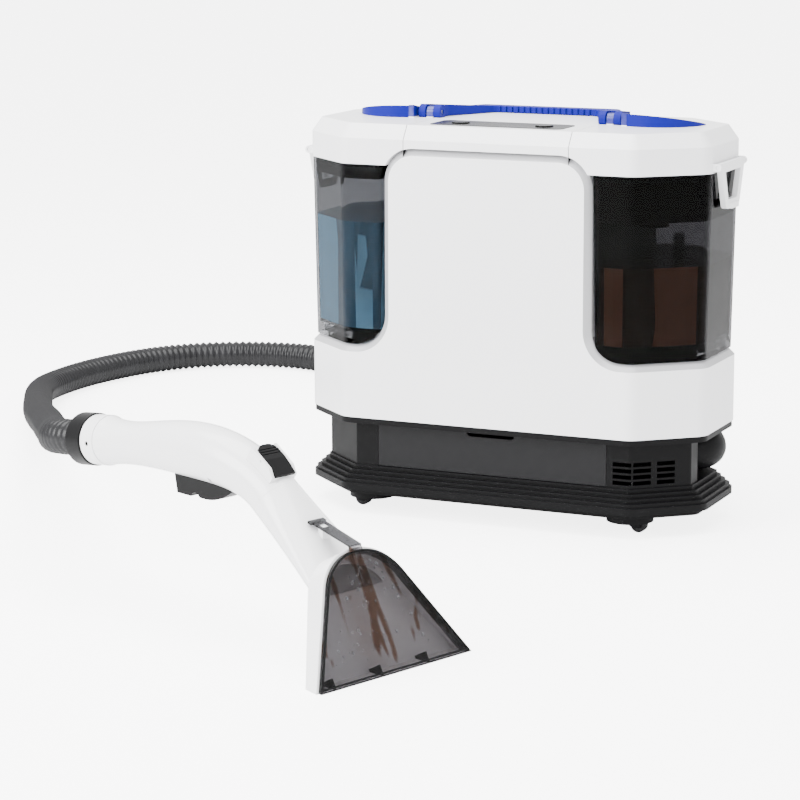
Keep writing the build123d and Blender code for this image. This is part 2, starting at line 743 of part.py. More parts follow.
with BuildPart() as base_housing:
    # Plinth: a plain band, then concentric ridges that climb to the recessed wall
    with BuildSketch(Plane.XY.offset(PLINTH_Z)):
        add(outline(0))
    extrude(amount=PLINTH_BAND)
    for ridge in range(RIDGES):
        step_in = RECESS * (ridge + RIDGE_SHARE) / RIDGES
        with BuildSketch(Plane.XY.offset(RIDGE_Z)):
            add(outline(step_in))
        extrude(amount=RIDGE_RISE * (ridge + 1) / RIDGES)
    # Recessed wall, with a bay cut back for the hose port, and the rim over it
    with BuildSketch(Plane.XY.offset(RIDGE_Z)):
        add(outline(RECESS))
        add(bay_plan.sketch, mode=Mode.SUBTRACT)
    extrude(amount=WALL_TOP - RIDGE_Z)
    with BuildSketch(Plane.XY.offset(WALL_TOP)):
        add(outline(RIM_INSET))
    extrude(amount=BAND_Z - WALL_TOP)
    # Hollow inside: low under the bay, full height elsewhere
    with BuildSketch(Plane.XY.offset(PLINTH_Z)):
        add(outline(RECESS + BASE_WALL))
    extrude(amount=WALL_Z - BASE_WALL - PLINTH_Z, mode=Mode.SUBTRACT)
    with BuildSketch(Plane.XY.offset(PLINTH_Z)):
        add(outline(RECESS))
        add(bay_plan.sketch, mode=Mode.SUBTRACT)
        offset(amount=-BASE_WALL, kind=Kind.INTERSECTION)
    extrude(amount=BAND_Z - PLINTH_Z, mode=Mode.SUBTRACT)
    # Tool bay behind the front cover
    with Locations((0, -RECESS_Y + COVER_T, BAY_Z - 2)):
        Box(
            2 * BAY_X + 4, BAY_DEEP, BAY_H + 4,
            align=(Align.CENTER, Align.MIN, Align.MIN),
        )
    with Locations((0, -RECESS_Y - 1, BAY_Z)):
        Box(
            2 * BAY_X, BAY_DEEP - 1, BAY_H,
            align=(Align.CENTER, Align.MIN, Align.MIN), mode=Mode.SUBTRACT,
        )
    with Locations((0, -RECESS_Y - 1, BAY_Z - COVER_LAP)):
        Box(
            2 * (BAY_X + COVER_LAP), COVER_T + 1, BAY_H + COVER_LAP,
            align=(Align.CENTER, Align.MIN, Align.MIN), mode=Mode.SUBTRACT,
        )
    # Vents: a column round the front corner and two on the slanted facet
    slant = Vector(BODY_X - FACET_X, BODY_Y - FACET_Y, 0).normalized()
    corner = Vector(FACET_X - RECESS * VENT_RAKE / 60, -RECESS_Y, 0)
    facets = [(corner - Vector(VENT_L / 2 - 2, 0, 0), 8.0)]
    turn = Vector(1, 0, 0).get_angle(slant)
    for column in (1, 2):
        centre = corner + slant * (VENT_L / 2 + 4 + (column - 1) * (VENT_L + VENT_GAP))
        facets.append((centre, turn))
    for centre, angle in facets:
        for row in range(VENT_ROWS):
            level = VENT_Z + VENT_H / 2 + row * VENT_PITCH
            with Locations(Location((centre.X, centre.Y, level), (0, 0, angle))):
                Box(VENT_L, 4 * BASE_WALL, VENT_H, mode=Mode.SUBTRACT)
    # Openings for the hose port and the mains lead's gland
    with BuildSketch(Plane(origin=PORT_MOUTH, z_dir=PORT_DIR).offset(-2 * BASE_WALL)):
        Circle(RISER_R + GAP)
    extrude(amount=4 * BASE_WALL, mode=Mode.SUBTRACT)
    with Locations(Location((GLAND_X, RECESS_Y, GLAND_Z), (90, 0, 0))):
        Cylinder(GLAND_R + GAP, 4 * BASE_WALL, mode=Mode.SUBTRACT)

with BuildPart() as service_cover:
    with Locations((0, -RECESS_Y, BAY_Z - COVER_LAP + GAP)):
        Box(
            2 * (BAY_X + COVER_LAP - GAP), COVER_T, BAY_H + COVER_LAP - 2 * GAP,
            align=(Align.CENTER, Align.MIN, Align.MIN),
        )
    # Finger notch in the upper edge
    with BuildSketch(Plane.XZ.offset(RECESS_Y)):
        with Locations((0, BAY_Z + BAY_H - GAP)):
            SlotOverall(NOTCH_X, 2 * NOTCH_H)
    extrude(amount=-COVER_T, mode=Mode.SUBTRACT)
    # Two clips that reach back into the bay
    for side in (-1, 1):
        with Locations((side * (BAY_X - 3), -RECESS_Y + COVER_T, BAY_Z + BAY_H / 2)):
            Box(CLIP_T, CLIP_L, CLIP_W, align=(Align.CENTER, Align.MIN, Align.CENTER))

# ---------------------------------------------------------------- white housing
housing_outer = housing_block(0, TOWER_BEVEL)
housing_inner = housing_block(WALL, TOWER_BEVEL - WALL * (2 - sqrt(2)))

with BuildPart() as front_shell:
    add(housing_outer)
    add(housing_inner, mode=Mode.SUBTRACT)
    split(bisect_by=Plane.XZ, keep=Keep.TOP)

with BuildPart() as rear_shell:
    add(housing_outer)
    add(housing_inner, mode=Mode.SUBTRACT)
    split(bisect_by=Plane.XZ, keep=Keep.BOTTOM)

# ---------------------------------------------------------------- top
with BuildPart() as centre_cover:
    add(cover_block(0))
    add(cover_block(WALL), mode=Mode.SUBTRACT)
    with BuildSketch(Plane.XZ):
        add(tower_profile(GAP))
    extrude(amount=2 * BODY_Y, both=True, mode=Mode.SUBTRACT)
    hub_width = HUB_OUT - HUB_IN
    for side in (-1, 1):
        # Block under each hub's pocket, the pocket, and the lug that holds the pin
        with Locations((side * HUB_MID, HUB_Y, TOP_Z - WALL - LUG_BASE)):
            Box(
                hub_width + 2 * LUG_GAP, 2 * HUB_R + 4, LUG_BASE + 1,
                align=(Align.CENTER, Align.CENTER, Align.MIN),
            )
        with Locations(Location((side * HUB_MID, HUB_Y, HUB_Z), (0, 90, 0))):
            Cylinder(HUB_R + LUG_GAP, hub_width + 2 * LUG_GAP, mode=Mode.SUBTRACT)
        with BuildSketch(Plane.YZ.offset(side * HUB_MID - LUG_T / 2)):
            with Locations((HUB_Y, HUB_Z)):
                Circle(LUG_R)
                Rectangle(2 * LUG_R, HUB_Z - TOP_Z + WALL + 1, align=(Align.CENTER, Align.MAX))
        extrude(amount=LUG_T)
        with Locations(Location((side * HUB_MID, HUB_Y, HUB_Z), (0, 90, 0))):
            Cylinder(HANDLE_PIN_R, LUG_T + 1, mode=Mode.SUBTRACT)
    # Bosses that stand on the tower's roof
    with Locations((0, 0, TOWER_TOP)):
        with GridLocations(2 * BOSS_X, 2 * BOSS_Y, 2, 2):
            Cylinder(BOSS_R, TOP_Z - WALL / 2 - TOWER_TOP, align=STANDING)
    # Recess for the control strip and guides for its buttons
    with BuildSketch(Plane.XY.offset(TOP_Z)):
        with Locations((0, STRIP_Y0 + STRIP_D / 2)):
            RectangleRounded(STRIP_X + 2 * GAP, STRIP_D + 2 * GAP, STRIP_R + GAP)
    extrude(amount=-STRIP_T, mode=Mode.SUBTRACT)
    with BuildSketch(Plane.XY.offset(TOP_Z)):
        with Locations(*BUTTON_SPOTS):
            Circle(BUTTON_R + BUTTON_CLEAR)
    extrude(amount=-WALL - 1, mode=Mode.SUBTRACT)

with BuildPart() as control_strip:
    with BuildSketch(Plane.XY.offset(TOP_Z - STRIP_T)):
        with Locations((0, STRIP_Y0 + STRIP_D / 2)):
            RectangleRounded(STRIP_X, STRIP_D, STRIP_R)
        with Locations(*BUTTON_SPOTS):
            Circle(BUTTON_R + BUTTON_CLEAR, mode=Mode.SUBTRACT)
    extrude(amount=STRIP_T + GAP)


def push_button(spot):
    """Round button with a flange that keeps it under the cover's top."""
    crown = TOP_Z + GAP + BUTTON_PROUD
    flange = TOP_Z - WALL
    with BuildPart(mode=Mode.PRIVATE) as button:
        with BuildSketch(Plane.XY.offset(flange)):
            with Locations(spot):
                Circle(BUTTON_R)
        extrude(amount=crown - flange)
        fillet(button.faces().sort_by(Axis.Z)[-1].edges(), BUTTON_PROUD / 2)
        with BuildSketch(Plane.XY.offset(flange)):
            with Locations(spot):
                Circle(BUTTON_R + 2)
        extrude(amount=-BUTTON_H / 3)
    return button.part


with BuildPart() as power_button:
    add(push_button(BUTTON_SPOTS[1]))

with BuildPart() as mode_button:
    add(push_button(BUTTON_SPOTS[0]))

with BuildPart() as carry_handle:
    low = TOP_Z + HANDLE_LIFT
    bar_top = low + BAR_H
    bar_back = BAR_Y + BAR_D
    with BuildSketch(Plane.XY.offset(low)) as grip_plan:
        with BuildLine() as half:
            Polyline(
                (0, BAR_Y), (BAR_X, BAR_Y), (HUB_IN, HUB_Y + HUB_R + ARM_INNER), (HUB_IN, HUB_Y),
                (HUB_OUT, HUB_Y), (HUB_OUT, HUB_Y + HUB_R + ARM_OUTER),
                (BAR_X + ARM_SPREAD, bar_back), (0, bar_back), close=True,
            )
        make_face()
        mirror(about=Plane.YZ)
        bends = [v for v in grip_plan.vertices() if v.Y > HUB_Y + 1]
        fillet(bends, ARM_BEND_R)
    extrude(amount=HUB_Z + HUB_R - low)
    with BuildSketch(Plane.YZ):
        with BuildLine():
            Polyline(
                (HUB_Y, low), (bar_back + 1, low), (bar_back + 1, bar_top), (BAR_Y, bar_top),
                (HUB_Y, HUB_Z + HUB_R), close=True,
            )
        make_face()
    extrude(amount=BODY_X, both=True, mode=Mode.INTERSECT)
    for side in (-1, 1):
        with Locations(Location((side * HUB_MID, HUB_Y, HUB_Z), (0, 90, 0))):
            Cylinder(HUB_R, hub_width)
        with Locations((side * HUB_MID, HUB_Y + LUG_R + LUG_GAP, HUB_Z)):
            Box(
                LUG_T + 2 * LUG_GAP, 4 * HUB_R, 4 * HUB_R,
                align=(Align.CENTER, Align.MAX, Align.CENTER), mode=Mode.SUBTRACT,
            )
        with Locations(Location((side * HUB_MID, HUB_Y, HUB_Z), (0, 90, 0))):
            Cylinder(HANDLE_PIN_R + PIN_CLEAR, hub_width + 1, mode=Mode.SUBTRACT)
    # Grooves between the ribs, down the bar's front and over its top
    with Locations((0, BAR_Y, low)):
        with GridLocations(2 * BAR_X / BAR_RIBS, 0, BAR_RIBS - 1, 1):
            Box(
                BAR_GROOVE, 2 * BAR_CUT, 2 * BAR_H,
                align=(Align.CENTER, Align.CENTER, Align.MIN), mode=Mode.SUBTRACT,
            )

with BuildPart() as handle_pins:
    for side in (-1, 1):
        with Locations(Location((side * HUB_MID, HUB_Y, HUB_Z), (0, 90, 0))):
            Cylinder(HANDLE_PIN_R, hub_width - 2)

# ---------------------------------------------------------------- tanks and lids
right_tank = tank_shell()
right_lid = lid_shell()

with BuildPart() as clean_tank:
    add(mirror(right_tank, about=Plane.YZ))
    # Outlet in the floor, closed by a sprung valve
    with Locations((-VALVE_X, 0, TANK_FLOOR - TANK_WALL)):
        Cylinder(VALVE_R + VALVE_LIP, TANK_FLOOR - 2 * TANK_WALL - TANK_Z, align=HANGING)
        Cylinder(VALVE_R + PIN_CLEAR, TANK_FOOT * 4, mode=Mode.SUBTRACT)

with BuildPart() as dirty_tank:
    add(right_tank)
    # Cage for the float that shuts off the suction
    with Locations((VALVE_X, 0, TANK_FLOOR)):
        Cylinder(FLOAT_STEM_R, FLOAT_STEM_H, align=STANDING)

with BuildPart() as clean_valve:
    with Locations((-VALVE_X, 0, TANK_FLOOR)):
        Cylinder(VALVE_R + VALVE_LIP, TANK_WALL, align=STANDING)
        Cylinder(VALVE_R, TANK_FLOOR - TANK_Z - TANK_WALL, align=HANGING)

with BuildPart() as tank_float:
    with Locations((VALVE_X, 0, TANK_FLOOR)):
        Cylinder(FLOAT_R, FLOAT_H, align=STANDING)
        Cylinder(FLOAT_STEM_R + GAP, 3 * FLOAT_H, mode=Mode.SUBTRACT)
    rims = tank_float.edges().filter_by(GeomType.CIRCLE).sort_by(SortBy.RADIUS)[-2:]
    fillet(rims, FLOAT_EDGE_R)

with BuildPart() as clean_lid:
    add(mirror(right_lid, about=Plane.YZ))

with BuildPart() as dirty_lid:
    add(right_lid)

with BuildPart() as clean_skirt:
    add(mirror(skirt_ring(CLEAN_SKIRT), about=Plane.YZ))

with BuildPart() as dirty_skirt:
    add(skirt_ring(DIRTY_SKIRT))
    # Inlet duct of the separator, turned down along the tower's side
    duct_x = TOWER_X + TANK_CLEAR + TANK_WALL + SKIRT_CLEAR + DUCT_IN
    duct_h = DIRTY_SKIRT + DUCT_MORE + LID_GAP + SKIRT_WALL
    with Locations((duct_x, 0, TANK_TOP - DIRTY_SKIRT - DUCT_MORE)):
        Cylinder(DUCT_R, duct_h, align=STANDING)
        Cylinder(DUCT_R - SKIRT_WALL, duct_h, align=STANDING, mode=Mode.SUBTRACT)

with BuildPart() as clean_seal:
    add(mirror(seal_ring(CLEAN_SKIRT), about=Plane.YZ))

with BuildPart() as dirty_seal:
    add(seal_ring(DIRTY_SKIRT))

with BuildPart() as clean_grip:
    add(mirror(grip_lens(), about=Plane.YZ))

with BuildPart() as dirty_grip:
    add(grip_lens())

with BuildPart() as clean_bail:
    add(mirror(bail_frame(), about=Plane.YZ))

with BuildPart() as dirty_bail:
    add(bail_frame())

# ---------------------------------------------------------------- inner machinery
with BuildPart() as motor_mount:
    with BuildSketch(Plane.XY.offset(MOUNT_Z)) as mount_plan:
        Rectangle(2 * (TOWER_X - WALL), 2 * (BODY_Y - WALL - GAP))
        chamfer(mount_plan.vertices(), TOWER_BEVEL)
        with Locations((RISER_X, RISER_Y)):
            Circle(RISER_R + 1, mode=Mode.SUBTRACT)
    extrude(amount=MOUNT_T)
    with Locations((MOTOR_X, 0, MOUNT_Z + MOUNT_T)):
        Cylinder(MOTOR_R + MOUNT_T, 2 * MOUNT_T, align=STANDING)
        Cylinder(MOTOR_R + GAP, 3 * MOUNT_T, align=STANDING, mode=Mode.SUBTRACT)

fan_floor = MOUNT_Z + MOUNT_T + MOTOR_H
fan_top = fan_floor + FAN_H + 2 * FAN_GAP + FAN_WALL

with BuildPart() as suction_motor:
    with Locations((MOTOR_X, 0, MOUNT_Z + MOUNT_T)):
        Cylinder(MOTOR_R, MOTOR_H, align=STANDING)
    # Cooling flutes down the can
    with Locations((MOTOR_X, 0, MOUNT_Z + MOUNT_T + SLOT_UP)):
        with PolarLocations(MOTOR_R, SLOTS):
            Cylinder(SLOT_R, MOTOR_H - SLOT_LESS, align=STANDING, mode=Mode.SUBTRACT)
    with Locations((MOTOR_X, 0, fan_floor)):
        Cylinder(SHAFT_R + PIN_CLEAR, 2 * SHAFT_L + 2, mode=Mode.SUBTRACT)

with BuildPart() as fan_housing:
    with Locations((MOTOR_X, 0, fan_floor)):
        Cylinder(FAN_R + FAN_GAP + FAN_WALL, fan_top + FAN_WALL - fan_floor, align=STANDING)
    # Outlet turned to the rear
    outlet_at = (MOTOR_X, FAN_R, (fan_floor + fan_top + FAN_WALL) / 2)
    outlet_l = BODY_Y - WALL - FAN_R
    with Locations(outlet_at):
        Box(OUTLET_W, outlet_l, FAN_H, align=(Align.CENTER, Align.MIN, Align.CENTER))
        Box(
            OUTLET_W - 2 * FAN_WALL, outlet_l, FAN_H - 2 * FAN_WALL,
            align=(Align.CENTER, Align.MIN, Align.CENTER), mode=Mode.SUBTRACT,
        )
    with Locations((MOTOR_X, 0, fan_floor + FAN_WALL)):
        Cylinder(
            FAN_R + FAN_GAP, fan_top - fan_floor - FAN_WALL, align=STANDING,
            mode=Mode.SUBTRACT,
        )
    with Locations((MOTOR_X, 0, fan_floor)):
        Cylinder(SHAFT_R + 1, 3 * FAN_WALL, mode=Mode.SUBTRACT)
    with Locations((MOTOR_X, 0, fan_top)):
        Cylinder(FAN_R / 3, 3 * FAN_WALL, mode=Mode.SUBTRACT)

with BuildSketch(mode=Mode.PRIVATE) as blade:
    with BuildLine():
        root = (SHAFT_R + 3, 0)
        tip = (FAN_R - BLADE_IN, FAN_R / 3)
        tip_back = (FAN_R - BLADE_IN - 1, FAN_R / 3 + BLADE_T)
        root_back = (SHAFT_R + 3, 2)
        ThreePointArc(root, (FAN_R / 2, FAN_R * BLADE_BOW), tip)
        Line(tip, tip_back)
        ThreePointArc(tip_back, (FAN_R / 2, FAN_R * BLADE_BOW + BLADE_T), root_back)
        Line(root_back, root)
    make_face()

with BuildPart() as motor_fan:
    fan_z = fan_floor + FAN_WALL + FAN_GAP
    with Locations((MOTOR_X, 0, fan_z)):
        Cylinder(FAN_R, 2, align=STANDING)
        Cylinder(SHAFT_R + 4, FAN_H - 2, align=STANDING)
    with Locations((MOTOR_X, 0, fan_floor - SHAFT_L)):
        Cylinder(SHAFT_R, SHAFT_L + FAN_WALL + FAN_GAP + 1, align=STANDING)
    with BuildSketch(Plane.XY.offset(fan_z + 1)):
        with Locations((MOTOR_X, 0)):
            with PolarLocations(0, FAN_BLADES):
                add(blade.sketch_local)
    extrude(amount=FAN_H - 4)

with BuildPart() as water_pump:
    with Locations((PUMP_X, PUMP_Y, PLINTH_Z)):
        Box(PUMP_L, 2 * PUMP_R, 3, align=STANDING)
        Box(PUMP_FOOT_L, PUMP_FOOT_W, PUMP_R + 2, align=STANDING)
    with Locations(Location((PUMP_X, PUMP_Y, PLINTH_Z + PUMP_R + 4), (0, 90, 0))):
        Cylinder(PUMP_R, PUMP_L * PUMP_BODY, align=STANDING)
        Cylinder(PUMP_HEAD_R, PUMP_L * PUMP_HEAD, align=HANGING)
    with Locations((PUMP_X - PUMP_PORT_X, PUMP_Y, PLINTH_Z + 2 * PUMP_R)):
        with GridLocations(PUMP_PORTS, 0, 2, 1):
            Cylinder(PUMP_PORT_R, PUMP_PORT_H, align=STANDING)

with BuildPart() as control_board:
    board_y = -BODY_Y + WALL + STANDOFF
    with Locations((0, board_y, BOARD_Z)):
        Box(BOARD_X, BOARD_T, BOARD_H, align=(Align.CENTER, Align.MIN, Align.MIN))
    with BuildSketch(Plane.XZ.offset(-board_y)):
        with Locations((0, BOARD_Z + BOARD_H / 2)):
            with GridLocations(BOARD_X - BOARD_HOLE_IN, BOARD_H - BOARD_HOLE_IN, 2, 2):
                Circle(STANDOFF_R)
    extrude(amount=STANDOFF)
    for spot_x, spot_z, wide, tall, deep in BOARD_PARTS:
        with Locations((spot_x, board_y + BOARD_T, BOARD_Z + spot_z)):
            Box(wide, deep, tall, align=(Align.CENTER, Align.MIN, Align.MIN))

# ---------------------------------------------------------------- hose port and riser
port_start = PORT_MOUTH - PORT_DIR * PORT_IN

with BuildPart() as port_elbow:
    with BuildLine():
        FilletPolyline(PORT_MOUTH, PORT_CORNER, PORT_TAIL, radius=PORT_BEND_R)
    with BuildSketch(Plane(origin=PORT_MOUTH, z_dir=PORT_DIR)):
        Circle(PORT_R)
        Circle(PORT_R - PORT_WALL, mode=Mode.SUBTRACT)
    sweep()
    with BuildSketch(Plane(origin=port_start, z_dir=PORT_DIR)):
        Circle(RISER_R)
        Circle(PORT_R - PORT_WALL, mode=Mode.SUBTRACT)
    extrude(amount=PORT_IN)

with BuildPart() as hose_collar:
    with BuildSketch(Plane(origin=PORT_TAIL, z_dir=TAIL_DIR)):
        Circle(COLLAR_R)
        Circle(HOSE_D / 2 - HOSE_WALL, mode=Mode.SUBTRACT)
    extrude(amount=COLLAR_L)
    chamfer(hose_collar.edges().filter_by(GeomType.CIRCLE).sort_by(SortBy.RADIUS)[-2:], COLLAR_BEVEL)

with BuildPart() as suction_riser:
    with BuildLine():
        FilletPolyline(
            port_start,
            port_start - PORT_DIR * RISER_LEAD,
            (RISER_X, RISER_Y, PORT_Z),
            (RISER_X, RISER_Y, TOWER_TOP - WALL),
            radius=RISER_BEND_R,
        )
    with BuildSketch(Plane(origin=port_start, z_dir=-PORT_DIR)):
        Circle(RISER_R)
        Circle(PORT_R - PORT_WALL, mode=Mode.SUBTRACT)
    sweep()

with BuildPart() as mains_gland:
    with BuildSketch(Plane.XZ.offset(-RECESS_Y)):
        with Locations((GLAND_X, GLAND_Z)):
            Circle(GLAND_R + 3)
    extrude(amount=-GLAND_LIP)
    with BuildSketch(Plane.XZ.offset(-RECESS_Y + BASE_WALL + 3)):
        with Locations((GLAND_X, GLAND_Z)):
            Circle(GLAND_R)
    extrude(amount=-BASE_WALL - 3 - GLAND_OUT)
    with BuildSketch(Plane.XZ.offset(-RECESS_Y + BASE_WALL + 3)):
        with Locations((GLAND_X, GLAND_Z)):
            Circle(MAINS_R)
    extrude(amount=-BASE_WALL - 3 - GLAND_OUT, mode=Mode.SUBTRACT)

# ---------------------------------------------------------------- rack on the rear
with BuildPart() as cord_rack:
    with BuildSketch(Plane.XZ.offset(-BODY_Y)):
        with Locations((0, RACK_Z)):
            SlotOverall(RACK_L, RACK_W, rotation=90)
            with Locations((0, 0)):
                SlotOverall(RACK_SLOT_L, RACK_SLOT_W, rotation=90, mode=Mode.SUBTRACT)
    extrude(amount=-RACK_T)
    with BuildSketch(Plane.XZ.offset(-BODY_Y)):
        with Locations((0, RACK_Z)):
            with GridLocations(0, RACK_POSTS, 1, 2):
                Circle(RACK_POST_R)
    extrude(amount=-RACK_T - RACK_OUT)
    with BuildSketch(Plane.XZ.offset(-BODY_Y - RACK_T - RACK_OUT)):
        with Locations((0, RACK_Z)):
            with GridLocations(0, RACK_POSTS, 1, 2):
                Circle(RACK_SPINDLE_R)
    extrude(amount=-HOOK_T - GAP)


def rack_hook(level, toward):
    """Swivelling stadium hook on one post of the rack, pointing toward up or down."""
    reach = HOOK_L - HOOK_W
    with BuildPart(mode=Mode.PRIVATE) as hook:
        with BuildSketch(Plane.XZ.offset(-BODY_Y - RACK_T - RACK_OUT - GAP)):
            with Locations((0, level + toward * reach / 2)):
                SlotOverall(HOOK_L, HOOK_W, rotation=90)
            with Locations((0, level)):
                Circle(RACK_SPINDLE_R + PIN_CLEAR, mode=Mode.SUBTRACT)
        extrude(amount=-HOOK_T)
        fillet(hook.faces().sort_by(Axis.Y)[-1].outer_wire().edges(), HOOK_EDGE_R)
    return hook.part


with BuildPart() as upper_hook:
    add(rack_hook(RACK_Z + RACK_POSTS / 2, -1))

with BuildPart() as lower_hook:
    add(rack_hook(RACK_Z - RACK_POSTS / 2, 1))

# ---------------------------------------------------------------- casters
with BuildPart() as caster_cups:
    with Locations((0, 0, CUP_Z)):
        with GridLocations(2 * CASTER_X, 2 * CASTER_Y, 2, 2):
            Cylinder(CUP_R, PLATE_Z - CUP_Z, align=STANDING)
            Cylinder(
                CUP_R - CUP_WALL, PLATE_Z - CUP_ROOF - CUP_Z, align=STANDING,
                mode=Mode.SUBTRACT,
            )
            Cylinder(STEM_R + PIN_CLEAR, 2 * PAST, mode=Mode.SUBTRACT)


def caster_fork(x, y, out):
    """Fork with its stem and stub axle; the wheel trails on the side of sign out."""
    roof = PLATE_Z - CUP_ROOF - GAP
    inside = WHEEL_W / 2 + GAP
    with BuildPart(mode=Mode.PRIVATE) as fork:
        with Locations((x, y, roof)):
            Cylinder(STEM_R, PLATE_Z + PLATE_T / 2 - roof, align=STANDING)
        with Locations((x, y, PLATE_Z + GAP)):
            Cylinder(STEM_R + STEM_HEAD, 1, align=STANDING)
        with Locations((x - out * CROWN_BACK, y, roof)):
            Box(CROWN_L, 2 * (inside + FORK_CHEEK), CROWN_T, align=HANGING)
        for side in (-1, 1):
            with BuildSketch(Plane.XZ.offset(-(y + side * inside))):
                with BuildLine():
                    Polyline(
                        (x - out * CHEEK_BACK, roof), (x + out * CHEEK_FORE, roof),
                        (x + out * (TRAIL + CHEEK_R), WHEEL_R + 2),
                        (x + out * (TRAIL + CHEEK_R), WHEEL_R - 2),
                        (x + out * (TRAIL - CHEEK_R), WHEEL_R - 3),
                        (x - out * CHEEK_BACK, roof - 4), close=True,
                    )
                make_face()
            extrude(amount=-side * FORK_CHEEK)
        with Locations(Location((x + out * TRAIL, y, WHEEL_R), (90, 0, 0))):
            Cylinder(AXLE_R, 2 * inside + FORK_CHEEK)
    return fork.part


def caster_wheel(x, y, out):
    """Small tyre-like wheel with a bore for the fork's axle."""
    with BuildPart(mode=Mode.PRIVATE) as wheel:
        with Locations(Location((x + out * TRAIL, y, WHEEL_R), (90, 0, 0))):
            Cylinder(WHEEL_R, WHEEL_W)
            fillet(wheel.edges().filter_by(GeomType.CIRCLE), WHEEL_EDGE_R)
            Cylinder(AXLE_R + PIN_CLEAR, 2 * WHEEL_W, mode=Mode.SUBTRACT)
    return wheel.part


casters = {}
for end, x in (("left", -CASTER_X), ("right", CASTER_X)):
    for row, y in (("front", -CASTER_Y), ("rear", CASTER_Y)):
        out = 1 if x > 0 else -1
        with BuildPart() as fork:
            add(caster_fork(x, y, out))
        with BuildPart() as wheel:
            add(caster_wheel(x, y, out))
        casters[f"{row}_{end}_fork"] = fork
        casters[f"{row}_{end}_wheel"] = wheel


# ---------------------------------------------------------------- hand tool
def tool_point(back, up, across=0.0):
    """Point of the tool: back from its lip, up from the floor, and along the lip."""
    return Vector(*LIP_AT) + BACK * back + UP * up + ALONG * across


def lean(angle):
    """Direction in the tool's side view that points to the lip, angle below level."""
    return BACK * -cos(radians(angle)) - UP * sin(radians(angle))


def handle_solid(shrink):
    """Bent grip of the tool, lofted through ovals, smaller all round by shrink."""
    with BuildPart(mode=Mode.PRIVATE) as grip:
        for back, up, angle, half_high, half_wide in HANDLE_OVALS:
            with BuildSketch(Plane(origin=tool_point(back, up), x_dir=ALONG, z_dir=lean(angle))):
                Ellipse(half_wide - shrink, half_high - shrink)
        loft()
    return grip.part


handle_outer = handle_solid(0)
cuff_way = -lean(HANDLE_OVALS[0][2])
handle_end = tool_point(HANDLE_OVALS[0][0], HANDLE_OVALS[0][1])
latch_at = tool_point(*LATCH_AT)
latch_x = lean(LATCH_LEAN)
LATCH = Plane(origin=latch_at, x_dir=latch_x, z_dir=-ALONG)

with BuildPart(mode=Mode.PRIVATE) as handle_rib:
    with BuildSketch(SIDE):
        with Locations((RIB_BACK, RIB_LOW)):
            Rectangle(RIB_T, 4 * RING_R, align=(Align.MIN, Align.MIN))
    extrude(amount=2 * RING_R, both=True)
    add(handle_outer, mode=Mode.INTERSECT)

with BuildPart() as tool_handle:
    add(handle_outer)
    add(handle_solid(TOOL_WALL), mode=Mode.SUBTRACT)
    # Slot for the trigger and the holes of its pin
    slot_low = TRIGGER_LOW - PAST
    with BuildSketch(SIDE):
        with BuildLine():
            Polyline(
                (TRIGGER_BACK + 3, slot_low), (TRIGGER_BACK + 3, TRIGGER_PIN_AT[1] + 4),
                (TRIGGER_NOSE - 3, TRIGGER_PIN_AT[1] + 2), (TRIGGER_NOSE - 3, slot_low),
                close=True,
            )
        make_face()
    extrude(amount=TRIGGER_W / 2 + 2 * GAP, both=True, mode=Mode.SUBTRACT)
    with BuildSketch(SIDE):
        with Locations(TRIGGER_PIN_AT):
            Circle(TRIGGER_PIN_R)
    extrude(amount=2 * RING_R, both=True, mode=Mode.SUBTRACT)
    add(handle_rib.part)

with BuildPart() as trigger:
    with BuildSketch(SIDE):
        with BuildLine():
            Polyline(
                (TRIGGER_NOSE, TRIGGER_PIN_AT[1] - TRIGGER_TIP), (TRIGGER_NOSE + 3, TRIGGER_PIN_AT[1] + 1),
                (TRIGGER_PIN_AT[0] + 6, TRIGGER_PIN_AT[1] + 4),
                (TRIGGER_BACK, TRIGGER_PIN_AT[1] - 3), (TRIGGER_BACK - 3, TRIGGER_LOW),
                (TRIGGER_BACK - CREST_BACK, TRIGGER_LOW - 0.5),
            )
            ThreePointArc(
                (TRIGGER_BACK - CREST_BACK, TRIGGER_LOW - 0.5),
                (TRIGGER_BACK - CREST_MID, TRIGGER_LOW + CREST_H),
                (TRIGGER_BACK - CREST_FORE, TRIGGER_LOW),
            )
            ThreePointArc(
                (TRIGGER_BACK - CREST_FORE, TRIGGER_LOW), (TRIGGER_BACK - BELLY_AT, TRIGGER_LOW + BELLY_RISE),
                (TRIGGER_NOSE, TRIGGER_PIN_AT[1] - TRIGGER_TIP),
            )
        make_face()
    extrude(amount=TRIGGER_W / 2, both=True)
    with BuildSketch(SIDE):
        with Locations(TRIGGER_PIN_AT):
            Circle(TRIGGER_PIN_R + PIN_CLEAR)
    extrude(amount=TRIGGER_W, both=True, mode=Mode.SUBTRACT)

with BuildPart() as tool_pins:
    with BuildSketch(SIDE):
        with Locations(TRIGGER_PIN_AT):
            Circle(TRIGGER_PIN_R)
    extrude(amount=TRIGGER_PIN_L / 2, both=True)
    with BuildSketch(LATCH):
        with Locations(RELEASE_PIN_AT):
            Circle(RELEASE_PIN_R)
    extrude(amount=RELEASE_W / 2 + GAP + LATCH_CHEEK - PIN_SHORT, both=True)

with BuildPart() as spray_valve:
    with BuildSketch(SIDE):
        with Locations((RIB_BACK, SPRAY_LOW)):
            Rectangle(SPRAY_L, SPRAY_H, align=(Align.MAX, Align.MIN))
        with Locations((RIB_BACK - SPRAY_L, SPRAY_LOW + SPRAY_H / 2)):
            Rectangle(SPRAY_L / 3, SPRAY_H / 2, align=(Align.MAX, Align.CENTER))
    extrude(amount=SPRAY_H / 2, both=True)

